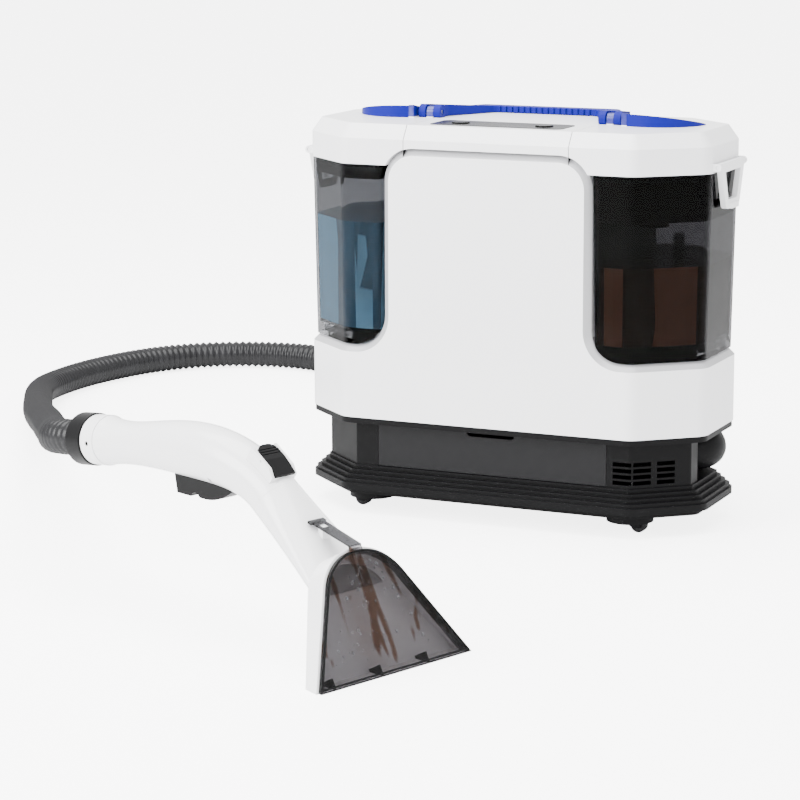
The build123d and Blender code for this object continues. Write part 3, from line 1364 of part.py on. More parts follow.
with BuildPart() as handle_ring:
    with BuildSketch(Plane(origin=handle_end, z_dir=cuff_way)):
        Circle(RING_R)
        Circle(RING_R - TOOL_WALL - 1, mode=Mode.SUBTRACT)
    extrude(amount=RING_L)
    screw_at = handle_end + cuff_way * SCREW_BACK
    with BuildSketch(Plane(origin=screw_at - ALONG * 2 * RING_R, z_dir=ALONG)):
        Circle(SCREW_R)
    extrude(amount=2 * RING_R, mode=Mode.SUBTRACT)

cuff_base = handle_end + cuff_way * RING_L

with BuildPart() as hose_cuff:
    with BuildSketch(Plane(origin=cuff_base, z_dir=cuff_way)):
        Circle(CUFF_R)
        Circle(HOSE_D / 2 - HOSE_WALL, mode=Mode.SUBTRACT)
    extrude(amount=CUFF_L)
    rims = hose_cuff.edges().filter_by(GeomType.CIRCLE).sort_by(SortBy.RADIUS)[-2:]
    chamfer(rims, CUFF_BEVEL)

with BuildPart() as latch_block:
    cheek_at = RELEASE_W / 2 + GAP
    # Bridge under the button's front end
    with BuildSketch(LATCH):
        with Locations((LATCH_L / 2, -LATCH_DEEP)):
            Rectangle(
                LATCH_BRIDGE, LATCH_DEEP + RELEASE_LOW - GAP, align=(Align.MAX, Align.MIN)
            )
    extrude(amount=cheek_at + LATCH_CHEEK, both=True)
    for side in (-1, 1):
        with BuildSketch(LATCH.offset(side * cheek_at)):
            with BuildLine():
                Polyline(
                    (-LATCH_L / 2, -LATCH_DEEP), (LATCH_L / 2, -LATCH_DEEP),
                    (LATCH_L / 2, RELEASE_LOW), (LATCH_L / 2 - LATCH_BRIDGE, LATCH_TOP),
                    (-LATCH_L / 2, LATCH_TOP), close=True,
                )
            make_face()
            with Locations(RELEASE_PIN_AT):
                Circle(RELEASE_PIN_R, mode=Mode.SUBTRACT)
        extrude(amount=side * LATCH_CHEEK)
    add(handle_outer, mode=Mode.SUBTRACT)

with BuildPart() as release_button:
    button_top = RELEASE_LOW + RELEASE_T
    with BuildSketch(LATCH):
        with BuildLine():
            Polyline(
                (-RELEASE_L / 2, RELEASE_LOW), (RELEASE_L / 2, RELEASE_LOW),
                (RELEASE_L / 2, RELEASE_LOW + RELEASE_T / 2), (0, button_top),
                (-RELEASE_L / 2, button_top), close=True,
            )
        make_face()
    extrude(amount=RELEASE_W / 2, both=True)
    ends = release_button.edges().filter_by(Axis(latch_at, LATCH.y_dir))
    fillet(ends.group_by(Axis(latch_at, latch_x))[0], RELEASE_END_R)
    # Finger grooves across its rear half
    for step in range(3):
        with BuildSketch(LATCH):
            with Locations((-RELEASE_L / 4 - (step - 1) * GROOVE_PITCH, button_top)):
                Rectangle(GROOVE_T, 2 * GROOVE_CUT)
        extrude(amount=RELEASE_W, both=True, mode=Mode.SUBTRACT)
    with BuildSketch(LATCH):
        with Locations(RELEASE_PIN_AT):
            Circle(RELEASE_PIN_R + PIN_CLEAR)
    extrude(amount=RELEASE_W, both=True, mode=Mode.SUBTRACT)


def fan_outline(inset, foot):
    """Nozzle seen square on: a trapezoid with an arched top, moved inward by inset."""
    slope = (LIP_W / 2 - FAN_SHOULDER) / FAN_TOP
    narrow = inset * sqrt(1 + slope ** 2)
    low_x = LIP_W / 2 + slope * foot - narrow
    high_x = FAN_SHOULDER + slope * inset - narrow
    high = FAN_TOP - inset
    with BuildSketch(mode=Mode.PRIVATE) as fan:
        with BuildLine():
            Polyline((-low_x, -foot), (low_x, -foot), (high_x, high), (-high_x, high), close=True)
        make_face()
        arch = fan.vertices().group_by(Axis.Y)[-1]
        fillet(arch, FAN_ARCH_R - inset)
    return fan.sketch_local


def fan_side(up, deep):
    """Point of the tool's side view: up the nozzle's face, and deep behind that face."""
    tilt = radians(FAN_TILT)
    return (up * cos(tilt) + deep * sin(tilt), up * sin(tilt) - deep * cos(tilt))


def fan_depth(up):
    """Thickness of the nozzle's body at a height up its face."""
    return FAN_DEEP_LIP + (FAN_DEEP_TOP - FAN_DEEP_LIP) * up / FAN_TOP


def fan_block(inset, front, skin):
    """Wedge of the nozzle inside its outline, from the front depth to the back's skin."""
    over = FAN_TOP + FAN_DEEP_TOP
    with BuildPart(mode=Mode.PRIVATE) as block:
        with BuildSketch(FAN.offset(-front)):
            add(fan_outline(inset, FAN_FOOT))
        extrude(amount=-2 * FAN_DEEP_TOP)
        with BuildSketch(SIDE):
            with BuildLine():
                Polyline(
                    fan_side(-FAN_FOOT, front), fan_side(over, front),
                    fan_side(over, fan_depth(over) - skin),
                    fan_side(-FAN_FOOT, fan_depth(-FAN_FOOT) - skin), close=True,
                )
            make_face()
        extrude(amount=LIP_W, both=True, mode=Mode.INTERSECT)
    return block.part


def neck_block(shrink):
    """Neck from the seam with the handle to the nozzle's back, smaller by shrink."""
    back, up, angle, high, wide = HANDLE_OVALS[-1]
    with BuildPart(mode=Mode.PRIVATE) as neck:
        with BuildSketch(Plane(origin=tool_point(back, up), x_dir=ALONG, z_dir=lean(angle))):
            Ellipse(wide - shrink, high - shrink)
        with BuildSketch(FAN.offset(-NECK_DEEP)):
            with Locations((0, NECK_UP)):
                Ellipse(NECK_WIDE - shrink, NECK_HIGH - shrink)
        loft(ruled=True)
    return neck.part


seam_plane = Plane(
    origin=tool_point(*HANDLE_OVALS[-1][:2]), x_dir=ALONG, z_dir=lean(HANDLE_OVALS[-1][2])
)

tab_foot = fan_side(FAN_TOP + TAB_OVER, -COVER_RAISE - 1)
tab_heel = fan_side(FAN_TOP + TAB_OVER, COVER_SIDE - COVER_RAISE - 1)
TAB_RUN = (Vector(*tab_foot) - Vector(*TAB_TIP)).normalized()


def tab_high(along, over=0.0):
    """Point of the tab's upper face, along from its tip and over the face."""
    back = TAB_TIP[0] + TAB_RUN.X * along + TAB_RUN.Y * over
    up = TAB_TIP[1] + TAB_RUN.Y * along - TAB_RUN.X * over
    return (back, up)


def tab_low(along, under=0.0):
    """Point of the tab's lower face, along from its tip and under the face."""
    return tab_high(along, -TAB_T - under)


with BuildPart() as nozzle_body:
    add(fan_block(0, 0, 0))
    add(neck_block(0))
    # Catch that shows in the window of the cover's tab
    with BuildSketch(SIDE):
        with BuildLine():
            Polyline(
                tab_low(TAB_WINDOW_IN + 1), tab_low(TAB_WINDOW_IN + TAB_WINDOW_L - 1),
                (tab_low(TAB_WINDOW_IN + TAB_WINDOW_L - 1)[0], TAB_TIP[1] - TAB_DOWN),
                (tab_low(TAB_WINDOW_IN + 1)[0], TAB_TIP[1] - TAB_DOWN), close=True,
            )
        make_face()
    extrude(amount=TAB_WINDOW_W / 2 - 1, both=True)
    add(neck_block(TOOL_WALL), mode=Mode.SUBTRACT)
    add(fan_block(FAN_SIDE, -FAN_DEEP_LIP, FAN_SIDE), mode=Mode.SUBTRACT)
    # Seat for the cover's edge, all round inside the side walls
    with BuildSketch(FAN.offset(-COVER_SEAT)):
        add(fan_outline(FAN_SIDE / 2, FAN_FOOT))
        add(fan_outline(FAN_SIDE + GAP + COVER_SIDE, 2 * FAN_FOOT), mode=Mode.SUBTRACT)
    extrude(amount=-COVER_SIDE)
    # Spigot that enters the handle, on a web inside the neck
    with BuildSketch(seam_plane):
        Circle(HANDLE_OVALS[-1][3] - TOOL_WALL / 2)
        Circle(SPIGOT_R - TOOL_WALL, mode=Mode.SUBTRACT)
    extrude(amount=TOOL_WALL)
    with BuildSketch(seam_plane):
        Circle(SPIGOT_R)
        Circle(SPIGOT_R - TOOL_WALL, mode=Mode.SUBTRACT)
    extrude(amount=-SPIGOT_L)
    split(bisect_by=Plane.XY, keep=Keep.TOP)

with BuildPart() as nozzle_cover:
    with BuildSketch(FAN.offset(COVER_RAISE)):
        add(fan_outline(FAN_SIDE + GAP, FAN_FOOT))
    extrude(amount=-COVER_RAISE - COVER_SEAT)
    with BuildSketch(FAN.offset(COVER_RAISE - COVER_SIDE)):
        add(fan_outline(FAN_SIDE + GAP + COVER_SIDE, 2 * FAN_FOOT))
    extrude(amount=-COVER_RAISE - COVER_SEAT, mode=Mode.SUBTRACT)
    # Tab from the arch to the neck, wider at its tip, with a window
    with BuildSketch(SIDE):
        with BuildLine():
            Polyline(
                fan_side(FAN_TOP - TAB_ROOT, -COVER_RAISE), tab_foot, TAB_TIP,
                tab_low(0), tab_heel, fan_side(FAN_TOP - TAB_ROOT, COVER_SIDE - COVER_RAISE),
                close=True,
            )
        make_face()
    extrude(amount=TAB_W / 2, both=True)
    with BuildSketch(SIDE):
        with BuildLine():
            Polyline(TAB_TIP, tab_high(TAB_GRIP_L), tab_low(TAB_GRIP_L), tab_low(0), close=True)
        make_face()
    extrude(amount=TAB_GRIP_W / 2, both=True)
    with BuildSketch(SIDE):
        with BuildLine():
            Polyline(
                tab_high(TAB_WINDOW_IN, 1), tab_high(TAB_WINDOW_IN + TAB_WINDOW_L, 1),
                tab_low(TAB_WINDOW_IN + TAB_WINDOW_L, 1), tab_low(TAB_WINDOW_IN, 1), close=True,
            )
        make_face()
    extrude(amount=TAB_WINDOW_W / 2, both=True, mode=Mode.SUBTRACT)
    split(bisect_by=Plane.XY, keep=Keep.TOP)

with BuildPart() as nozzle_rails:
    rail_top = COVER_SEAT + COVER_SIDE
    rail_back = FAN_DEEP_LIP - FAN_SIDE
    with BuildSketch(SIDE):
        with BuildLine():
            Polyline(
                fan_side(-FAN_DEEP_LIP, rail_top), fan_side(RAIL_H, rail_top),
                fan_side(RAIL_H, rail_back), fan_side(-FAN_DEEP_LIP, rail_back), close=True,
            )
        make_face()
    extrude(amount=LIP_W / 2 - FAN_SIDE - RAIL_H, both=True)
    for fin in RAIL_FINS:
        with BuildSketch(SIDE.offset(fin - RAIL_FIN_T / 2)):
            with BuildLine():
                Polyline(
                    fan_side(-FAN_DEEP_LIP, GAP - COVER_RAISE + COVER_SIDE),
                    fan_side(2 * RAIL_H, GAP - COVER_RAISE + COVER_SIDE),
                    fan_side(2 * RAIL_H, rail_back), fan_side(-FAN_DEEP_LIP, rail_back), close=True,
                )
            make_face()
        extrude(amount=RAIL_FIN_T)
    split(bisect_by=Plane.XY, keep=Keep.TOP)

back_low = Vector(*fan_side(0, fan_depth(0)))
back_high = Vector(*fan_side(FAN_TOP, fan_depth(FAN_TOP)))
back_run = (back_high - back_low).normalized()
tip_at = fan_side(TIP_UP, fan_depth(TIP_UP))

with BuildPart() as spray_tip:
    tip_way = BACK * back_run.Y - UP * back_run.X
    with BuildSketch(Plane(origin=tool_point(*tip_at), x_dir=ALONG, z_dir=tip_way)):
        RectangleRounded(4 * TIP_R, 3 * TIP_R, TIP_R / 2)
    extrude(amount=TIP_R / 2)
    with BuildSketch(Plane(origin=tool_point(*tip_at), x_dir=ALONG, z_dir=tip_way)):
        Circle(TIP_R)
    extrude(amount=2 * TIP_R)

# ---------------------------------------------------------------- hose
hose_start = PORT_TAIL + TAIL_DIR * COLLAR_L
hose_end = cuff_base + cuff_way * CUFF_L
hose_points = [
    hose_start,
    hose_start + TAIL_DIR * HOSE_LEAD,
    *[Vector(*point) for point in HOSE_WAY],
    hose_end + cuff_way * HOSE_TAIL,
    hose_end,
]
hose_radii = []
for before, corner, after in zip(hose_points, hose_points[1:], hose_points[2:]):
    half_turn = radians((corner - before).get_angle(after - corner)) / 2
    run = min((corner - before).length, (after - corner).length)
    hose_radii.append(HOSE_SHARE * run / tan(half_turn))

with BuildPart() as hose:
    with BuildLine() as hose_line:
        FilletPolyline(*hose_points, radius=hose_radii)
    with BuildSketch(Plane(origin=hose_start, z_dir=TAIL_DIR)):
        Circle(HOSE_D / 2)
        Circle(HOSE_D / 2 - HOSE_WALL, mode=Mode.SUBTRACT)
    sweep()

# ---------------------------------------------------------------- pieces and their files
pieces = {
    "base_plate": base_plate,
    "base_housing": base_housing,
    "service_cover": service_cover,
    "front_shell": front_shell,
    "rear_shell": rear_shell,
    "centre_cover": centre_cover,
    "control_strip": control_strip,
    "power_button": power_button,
    "mode_button": mode_button,
    "carry_handle": carry_handle,
    "handle_pins": handle_pins,
    "clean_tank": clean_tank,
    "dirty_tank": dirty_tank,
    "clean_valve": clean_valve,
    "tank_float": tank_float,
    "clean_lid": clean_lid,
    "dirty_lid": dirty_lid,
    "clean_skirt": clean_skirt,
    "dirty_skirt": dirty_skirt,
    "clean_seal": clean_seal,
    "dirty_seal": dirty_seal,
    "clean_grip": clean_grip,
    "dirty_grip": dirty_grip,
    "clean_bail": clean_bail,
    "dirty_bail": dirty_bail,
    "motor_mount": motor_mount,
    "suction_motor": suction_motor,
    "fan_housing": fan_housing,
    "motor_fan": motor_fan,
    "water_pump": water_pump,
    "control_board": control_board,
    "port_elbow": port_elbow,
    "hose_collar": hose_collar,
    "suction_riser": suction_riser,
    "mains_gland": mains_gland,
    "cord_rack": cord_rack,
    "upper_hook": upper_hook,
    "lower_hook": lower_hook,
    "caster_cups": caster_cups,
    **casters,
    "tool_handle": tool_handle,
    "trigger": trigger,
    "tool_pins": tool_pins,
    "spray_valve": spray_valve,
    "handle_ring": handle_ring,
    "hose_cuff": hose_cuff,
    "latch_block": latch_block,
    "release_button": release_button,
    "nozzle_body": nozzle_body,
    "nozzle_cover": nozzle_cover,
    "nozzle_rails": nozzle_rails,
    "spray_tip": spray_tip,
    "hose": hose,
}
stiff = [piece.part for label, piece in pieces.items() if label != "hose"]
extent = Compound(stiff).bounding_box()
shift = Location((-(extent.min.X + extent.max.X) / 2, -(extent.min.Y + extent.max.Y) / 2, 0))
os.makedirs("parts", exist_ok=True)
for label, piece in pieces.items():
    placed = piece.part.moved(shift)
    placed.label = label
    export_step(placed, f"parts/{label}.step")

bends = ", ".join(f"{radius:.0f}" for radius in hose_radii)
print(f"hose: {hose_line.wires()[0].length:.0f} mm long, bend radii {bends} mm")
print(f"all pieces moved by {shift.position.X:.3f}, {shift.position.Y:.3f} mm")
print(f"set without the hose: {extent.size.X:.1f} x {extent.size.Y:.1f} x {extent.size.Z:.1f} mm")
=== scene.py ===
"""Looks of a portable spot extractor with its hose and hand tool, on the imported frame."""
from __future__ import annotations

import logging
import math
import random
from dataclasses import dataclass, field
from enum import Enum
from typing import Callable, Sequence

import bmesh
import bpy
from mathutils import Matrix, Vector

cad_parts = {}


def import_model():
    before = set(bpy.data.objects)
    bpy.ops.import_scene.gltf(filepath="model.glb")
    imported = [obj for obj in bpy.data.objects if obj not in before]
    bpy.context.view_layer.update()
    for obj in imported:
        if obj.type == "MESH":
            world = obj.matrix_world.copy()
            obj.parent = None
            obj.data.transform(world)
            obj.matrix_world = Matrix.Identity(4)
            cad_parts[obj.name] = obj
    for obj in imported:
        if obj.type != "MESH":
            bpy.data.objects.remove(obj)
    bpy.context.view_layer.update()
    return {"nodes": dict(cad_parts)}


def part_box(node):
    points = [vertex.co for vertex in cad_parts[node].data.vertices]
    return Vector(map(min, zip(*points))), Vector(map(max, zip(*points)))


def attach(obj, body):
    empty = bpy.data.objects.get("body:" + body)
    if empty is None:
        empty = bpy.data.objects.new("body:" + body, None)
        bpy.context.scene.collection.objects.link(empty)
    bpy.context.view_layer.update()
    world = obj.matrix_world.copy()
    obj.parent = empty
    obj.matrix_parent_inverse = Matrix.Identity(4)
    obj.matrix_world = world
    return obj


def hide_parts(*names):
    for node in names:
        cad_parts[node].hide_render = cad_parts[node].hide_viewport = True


log = logging.getLogger("spot_extractor")
MM = 0.001
Colour = tuple[float, float, float]
Feeds = dict[str | int, object]
PLAIN_DETAIL = 2.0
NOISE_MEAN = 0.5
BEVEL_SAMPLES = 4
MERGE = 1e-6


# ------------------------------ places
@dataclass(frozen=True)
class Datum:
    """Turns the machine's own millimetres into the row frame's metres."""

    centre: tuple[float, float]

    @classmethod
    def from_frame(cls) -> "Datum":
        """Finds the machine's centre from its base plate.

        Returns:
            The datum of the loaded frame.
        """
        low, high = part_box("base_plate")
        return cls(((low[0] + high[0]) / 2, (low[1] + high[1]) / 2))

    def at(self, x: float, y: float, z: float) -> Vector:
        """Gives the row-frame point of a place in the machine's millimetres.

        Args:
            x: Millimetres to the right of the machine's centre.
            y: Millimetres behind the machine's centre.
            z: Millimetres above the floor.

        Returns:
            The point in metres.
        """
        return Vector((self.centre[0] + x * MM, self.centre[1] + y * MM, z * MM))


@dataclass(frozen=True)
class ToolSide:
    """Side view of the hand tool: back from its lip, up from the floor, along the lip."""

    datum: Datum
    lip: tuple[float, float] = (115.2, -535.2)
    turn: float = math.radians(159.9)
    tilt: float = math.radians(63.0)

    @property
    def back(self) -> Vector:
        """Direction from the lip toward the handle's end."""
        return Vector((math.cos(self.turn), math.sin(self.turn), 0.0))

    @property
    def along(self) -> Vector:
        """Direction of the lip's length."""
        return Vector((math.sin(self.turn), -math.cos(self.turn), 0.0))

    def at(self, back: float, up: float, along: float = 0.0) -> Vector:
        """Gives the row-frame point of a place in the tool's side view.

        Args:
            back: Millimetres behind the lip.
            up: Millimetres above the floor.
            along: Millimetres along the lip.

        Returns:
            The point in metres.
        """
        base = self.datum.at(self.lip[0], self.lip[1], up)
        return base + (self.back * back + self.along * along) * MM

    def face(self, up: float, deep: float = 0.0, along: float = 0.0) -> Vector:
        """Gives a point of the nozzle, measured on its leaning face.

        Args:
            up: Millimetres up the face from the lip.
            deep: Millimetres behind the face.
            along: Millimetres along the lip.

        Returns:
            The point in metres.
        """
        cos, sin = math.cos(self.tilt), math.sin(self.tilt)
        return self.at(up * cos + deep * sin, up * sin - deep * cos, along)

    def axes(self, out: Vector) -> Matrix:
        """Gives a turn whose Z is a direction and whose X runs along the lip.

        Args:
            out: The direction that Z takes.

        Returns:
            A 4 by 4 turning matrix.
        """
        z = out.normalized()
        x = (self.along - z * self.along.dot(z)).normalized()
        y = z.cross(x)
        return Matrix((x, y, z)).transposed().to_4x4()


# ------------------------------ wiring of shader nodes
@dataclass(frozen=True)
class Wiring:
    """Adds, sets and links the nodes of one tree."""

    tree: bpy.types.NodeTree

    def feed(self, node: bpy.types.Node, feeds: Feeds) -> None:
        """Gives some inputs of a node what they take.

        Args:
            node: The node.
            feeds: What each input gets: a socket is linked, anything else is its value.
        """
        for name, value in feeds.items():
            if isinstance(value, bpy.types.NodeSocket):
                self.tree.links.new(value, node.inputs[name])
            else:
                node.inputs[name].default_value = value

    def add(self, kind: str, feeds: Feeds | None = None, **settings: object) -> bpy.types.Node:
        """Adds a node.

        Args:
            kind: The node's type, without its prefix.
            feeds: What its inputs get.
            settings: Its own settings, which are made first.

        Returns:
            The node.
        """
        node = self.tree.nodes.new(f"ShaderNode{kind}")
        for name, setting in settings.items():
            setattr(node, name, setting)
        self.feed(node, feeds or {})
        return node

    def math(self, operation: str, *parts: object) -> bpy.types.NodeSocket:
        """Adds one step of arithmetic.

        Args:
            operation: What is done.
            parts: What goes in, in order.

        Returns:
            The result.
        """
        return self.add("Math", dict(enumerate(parts)), operation=operation).outputs[0]

    def chain(self, operation: str, *parts: bpy.types.NodeSocket) -> bpy.types.NodeSocket:
        """Joins any number of values with a two-sided operation.

        Args:
            operation: What is done.
            parts: The values, at least one.

        Returns:
            The result.
        """
        result = parts[0]
        for part in parts[1:]:
            result = self.math(operation, result, part)
        return result

    def dot(self, first: object, second: object) -> bpy.types.NodeSocket:
        """Adds a dot product of two directions and gives its value."""
        return self.add("VectorMath", {0: first, 1: second}, operation="DOT_PRODUCT").outputs["Value"]

    def place(self) -> bpy.types.NodeSocket:
        """Adds the place on the object, in metres."""
        return self.add("TexCoord").outputs["Object"]

    def parts(self, vector: bpy.types.NodeSocket) -> bpy.types.NodeOutputs:
        """Splits a vector and gives its three outputs by name."""
        return self.add("SeparateXYZ", {0: vector}).outputs

    def noise(
        self, vector: object, scale: object, detail: float = PLAIN_DETAIL, distortion: float = 0.0
    ) -> bpy.types.NodeSocket:
        """Adds a cloudy noise.

        Args:
            vector: Where it is read.
            scale: Patches per metre.
            detail: How many finer layers it has.
            distortion: How far it is warped.

        Returns:
            Its strength, about one half on average.
        """
        feeds = {"Vector": vector, "Scale": scale, "Detail": detail, "Distortion": distortion}
        return self.add("TexNoise", feeds).outputs["Fac"]

    def ramp(self, value: bpy.types.NodeSocket, feeds: Feeds, **settings: object) -> bpy.types.NodeSocket:
        """Maps a value from one range to another.

        Args:
            value: The value.
            feeds: The bounds that differ from 0 and 1.
            settings: Settings of the node.

        Returns:
            The mapped value.
        """
        return self.add("MapRange", {"Value": value, **feeds}, **settings).outputs["Result"]

    def mix(self, factor: bpy.types.NodeSocket, first: object, second: object) -> bpy.types.NodeSocket:
        """Adds a mix of two colours.

        Args:
            factor: How much of the second shows.
            first: The first colour.
            second: The second colour.

        Returns:
            The mixed colour.
        """
        feeds = {"Factor": factor, "A": first, "B": second}
        return self.add("Mix", feeds, data_type="RGBA").outputs["Result"]

    def bump(
        self, height: bpy.types.NodeSocket, strength: float, distance: float, ground: Feeds | None = None
    ) -> bpy.types.NodeSocket:
        """Adds a bump.

        Args:
            height: The height that it reads.
            strength: Its strength.
            distance: Its depth in metres.
            ground: The normal that it starts from, where that isn't the surface's own.

        Returns:
            The bumped normal.
        """
        feeds = {"Strength": strength, "Distance": distance, "Height": height, **(ground or {})}
        return self.add("Bump", feeds).outputs["Normal"]


# ------------------------------ shader groups
class Group(Enum):
    """Node groups that several finishes share."""

    MOULDED = "moulded_surface"
    CORRUGATED = "rubber_bloom"
    DROPLETS = "clinging_droplets"
    PAINTED_SHADE_BEVELS = "painted_shade_bevel_mask"
    ABOVE_TOP = "above_top_mask"
    SMEARS = "run_down_smears"


@dataclass(frozen=True)
class GroupShop:
    """Builds each shared node group once, with its scales in patches per metre."""

    made: dict[Group, bpy.types.ShaderNodeTree] = field(default_factory=dict)
    cloud_scale: float = 14.0
    cloud_detail: float = 4.0
    edge_lift_radius: float = 0.0012
    edge_lift_from: float = 0.995
    edge_lift_to: float = 0.9
    smear_scale: float = 45.0
    smear_detail: float = 6.0
    patch_scale: float = 60.0
    patch_detail: float = 8.0
    bloom_from: float = 0.45
    bloom_to: float = 0.75
    bloom_dulls: float = 0.3
    dry_share: float = 0.72
    slant_low: float = 0.3
    slant_high: float = 0.97
    panel_half: float = 0.128
    panel_foot: float = 0.12
    sill_slant: float = 0.25
    sill_top: float = 0.2
    cover_top: float = 0.3572
    runs_across: float = 62.0
    runs_down: float = 13.0
    runs_slice: float = 2.3
    runs_detail: float = 2.5
    runs_warp: float = 0.5
    runs_from: float = 0.57
    runs_to: float = 0.6

    def get(self, group: Group) -> bpy.types.ShaderNodeTree:
        """Gives a group, and builds it when it is first asked for.

        Args:
            group: The group that is wanted.

        Returns:
            The node tree.
        """
        if group not in self.made:
            builders: dict[Group, Callable[[bpy.types.ShaderNodeTree], None]] = {
                Group.MOULDED: self._moulded,
                Group.CORRUGATED: self._bloom,
                Group.DROPLETS: self._droplets,
                Group.PAINTED_SHADE_BEVELS: self._painted_shade_bevels,
                Group.ABOVE_TOP: self._above_top,
                Group.SMEARS: self._smears,
            }
            tree = bpy.data.node_groups.new(group.value, "ShaderNodeTree")
            builders[group](tree)
            self.made[group] = tree
        return self.made[group]

    @staticmethod
    def _open(
        tree: bpy.types.ShaderNodeTree, takes: dict[str, float | tuple], gives: Sequence[str]
    ) -> tuple[Wiring, bpy.types.NodeOutputs, bpy.types.Node]:
        """Makes the sockets and the two end nodes of a group.

        Args:
            tree: The empty group.
            takes: Its inputs and their defaults: a number, a direction of three or a colour of four.
            gives: Its outputs.

        Returns:
            The group's wiring, what it takes in, and its output node.
        """
        for name, value in takes.items():
            kind = {3: "Vector", 4: "Color"}[len(value)] if isinstance(value, tuple) else "Float"
            socket = tree.interface.new_socket(name=name, in_out="INPUT", socket_type=f"NodeSocket{kind}")
            socket.default_value = value
        for name in gives:
            kind = "Color" if name == "Colour" else "Float"
            tree.interface.new_socket(name=name, in_out="OUTPUT", socket_type=f"NodeSocket{kind}")
        start, end = tree.nodes.new("NodeGroupInput"), tree.nodes.new("NodeGroupOutput")
        return Wiring(tree), start.outputs, end

    def _moulded(self, tree: bpy.types.ShaderNodeTree) -> None:
        """Moulded plastic: faint tone drift, colour lifted along rounded edges, fine grain, and dust that
        dulls the gloss.

        Args:
            tree: The empty group.
        """
        takes = {
            "Colour": (0.8, 0.8, 0.8, 1.0),
            "Drift": 0.02,
            "Roughness": 0.35,
            "Spread": 0.06,
            "Grain Size": 900.0,
            "Edge Tone": 0.05,
        }
        net, start, end = self._open(tree, takes, ("Colour", "Roughness", "Height"))
        place = net.place()
        cloud = net.math("SUBTRACT", net.noise(place, self.cloud_scale, self.cloud_detail), NOISE_MEAN)
        drift = net.math("MULTIPLY_ADD", cloud, start["Drift"], 1.0)
        # colour is lifted along rounded edges, by Edge Tone
        rounded = net.add("Bevel", {"Radius": self.edge_lift_radius}, samples=BEVEL_SAMPLES).outputs["Normal"]
        bend = net.dot(rounded, net.add("NewGeometry").outputs["Normal"])
        edge = net.ramp(bend, {"From Min": self.edge_lift_from, "From Max": self.edge_lift_to})
        lift = net.math("MULTIPLY_ADD", edge, start["Edge Tone"], drift)
        tone = net.add("VectorMath", {0: start["Colour"], "Scale": lift}, operation="SCALE").outputs[0]
        smear = net.math("SUBTRACT", net.noise(place, self.smear_scale, self.smear_detail), NOISE_MEAN)
        rough = net.math("MULTIPLY_ADD", smear, start["Spread"], start["Roughness"])
        grain = net.noise(place, start["Grain Size"])
        net.feed(end, {"Colour": tone, "Roughness": rough, "Height": grain})

    def _bloom(self, tree: bpy.types.ShaderNodeTree) -> None:
        """Rubber and soft plastic: a grey bloom in patches, and a dull skin.

        Args:
            tree: The empty group.
        """
        takes = {
            "Colour": (0.05, 0.05, 0.05, 1.0),
            "Bloom": (0.2, 0.2, 0.2, 1.0),
            "Amount": 0.2,
            "Roughness": 0.5,
        }
        net, start, end = self._open(tree, takes, ("Colour", "Roughness", "Height"))
        patch = net.noise(net.place(), self.patch_scale, self.patch_detail)
        bloomed = net.ramp(patch, {"From Min": self.bloom_from, "From Max": self.bloom_to})
        share = net.math("MULTIPLY", bloomed, start["Amount"])
        tone = net.mix(share, start["Colour"], start["Bloom"])
        rough = net.math("MULTIPLY_ADD", share, self.bloom_dulls, start["Roughness"])
        net.feed(end, {"Colour": tone, "Roughness": rough, "Height": patch})

    def _droplets(self, tree: bpy.types.ShaderNodeTree) -> None:
        """Droplets that cling to clear plastic, as small rounded bumps.

        Args:
            tree: The empty group.
        """
        net, start, end = self._open(tree, {"Size": 110.0, "Coverage": 0.25}, ("Height",))
        cells = net.add("TexVoronoi", {"Vector": net.place(), "Scale": start["Size"]}).outputs
        bounds = {"From Min": start["Coverage"], "From Max": 0.0}
        bead = net.ramp(cells["Distance"], bounds, interpolation_type="SMOOTHSTEP")
        chance = net.add("SeparateColor", {"Color": cells["Color"]}).outputs["Red"]
        keep = net.math("GREATER_THAN", chance, self.dry_share)
        net.feed(end, {"Height": net.math("MULTIPLY", bead, keep)})

    def _painted_shade_bevels(self, tree: bpy.types.ShaderNodeTree) -> None:
        """Mask of grey painted shade: the bevels round the front panel and under the tank windows, picked by
        which way each face looks.

        Args:
            tree: The empty group.
        """
        net, start, end = self._open(tree, {"Centre X": 0.0}, ("Mask",))
        where = net.parts(net.place())
        normal = net.parts(net.add("NewGeometry").outputs["True Normal"])
        span = net.math("ABSOLUTE", net.math("SUBTRACT", where["X"], start["Centre X"]))
        lean = net.math("ABSOLUTE", normal["Y"])
        # bevels that lean sideways, inside the front panel, get painted shade
        upright = net.chain(
            "MULTIPLY",
            net.math("GREATER_THAN", lean, self.slant_low),
            net.math("LESS_THAN", lean, self.slant_high),
            net.math("LESS_THAN", span, self.panel_half),
            net.math("GREATER_THAN", where["Z"], self.panel_foot),
        )
        # faces that look up, low on the shell, get painted shade too
        sill = net.math(
            "MULTIPLY",
            net.math("GREATER_THAN", normal["Z"], self.sill_slant),
            net.math("LESS_THAN", where["Z"], self.sill_top),
        )
        net.feed(end, {"Mask": net.math("MAXIMUM", upright, sill)})

    def _above_top(self, tree: bpy.types.ShaderNodeTree) -> None:
        """Mask of what stands above a height, at first the machine's top face.

        Args:
            tree: The empty group.
        """
        net, start, end = self._open(tree, {"Height": self.cover_top}, ("Mask",))
        high = net.parts(net.place())["Z"]
        net.feed(end, {"Mask": net.math("GREATER_THAN", high, start["Height"])})

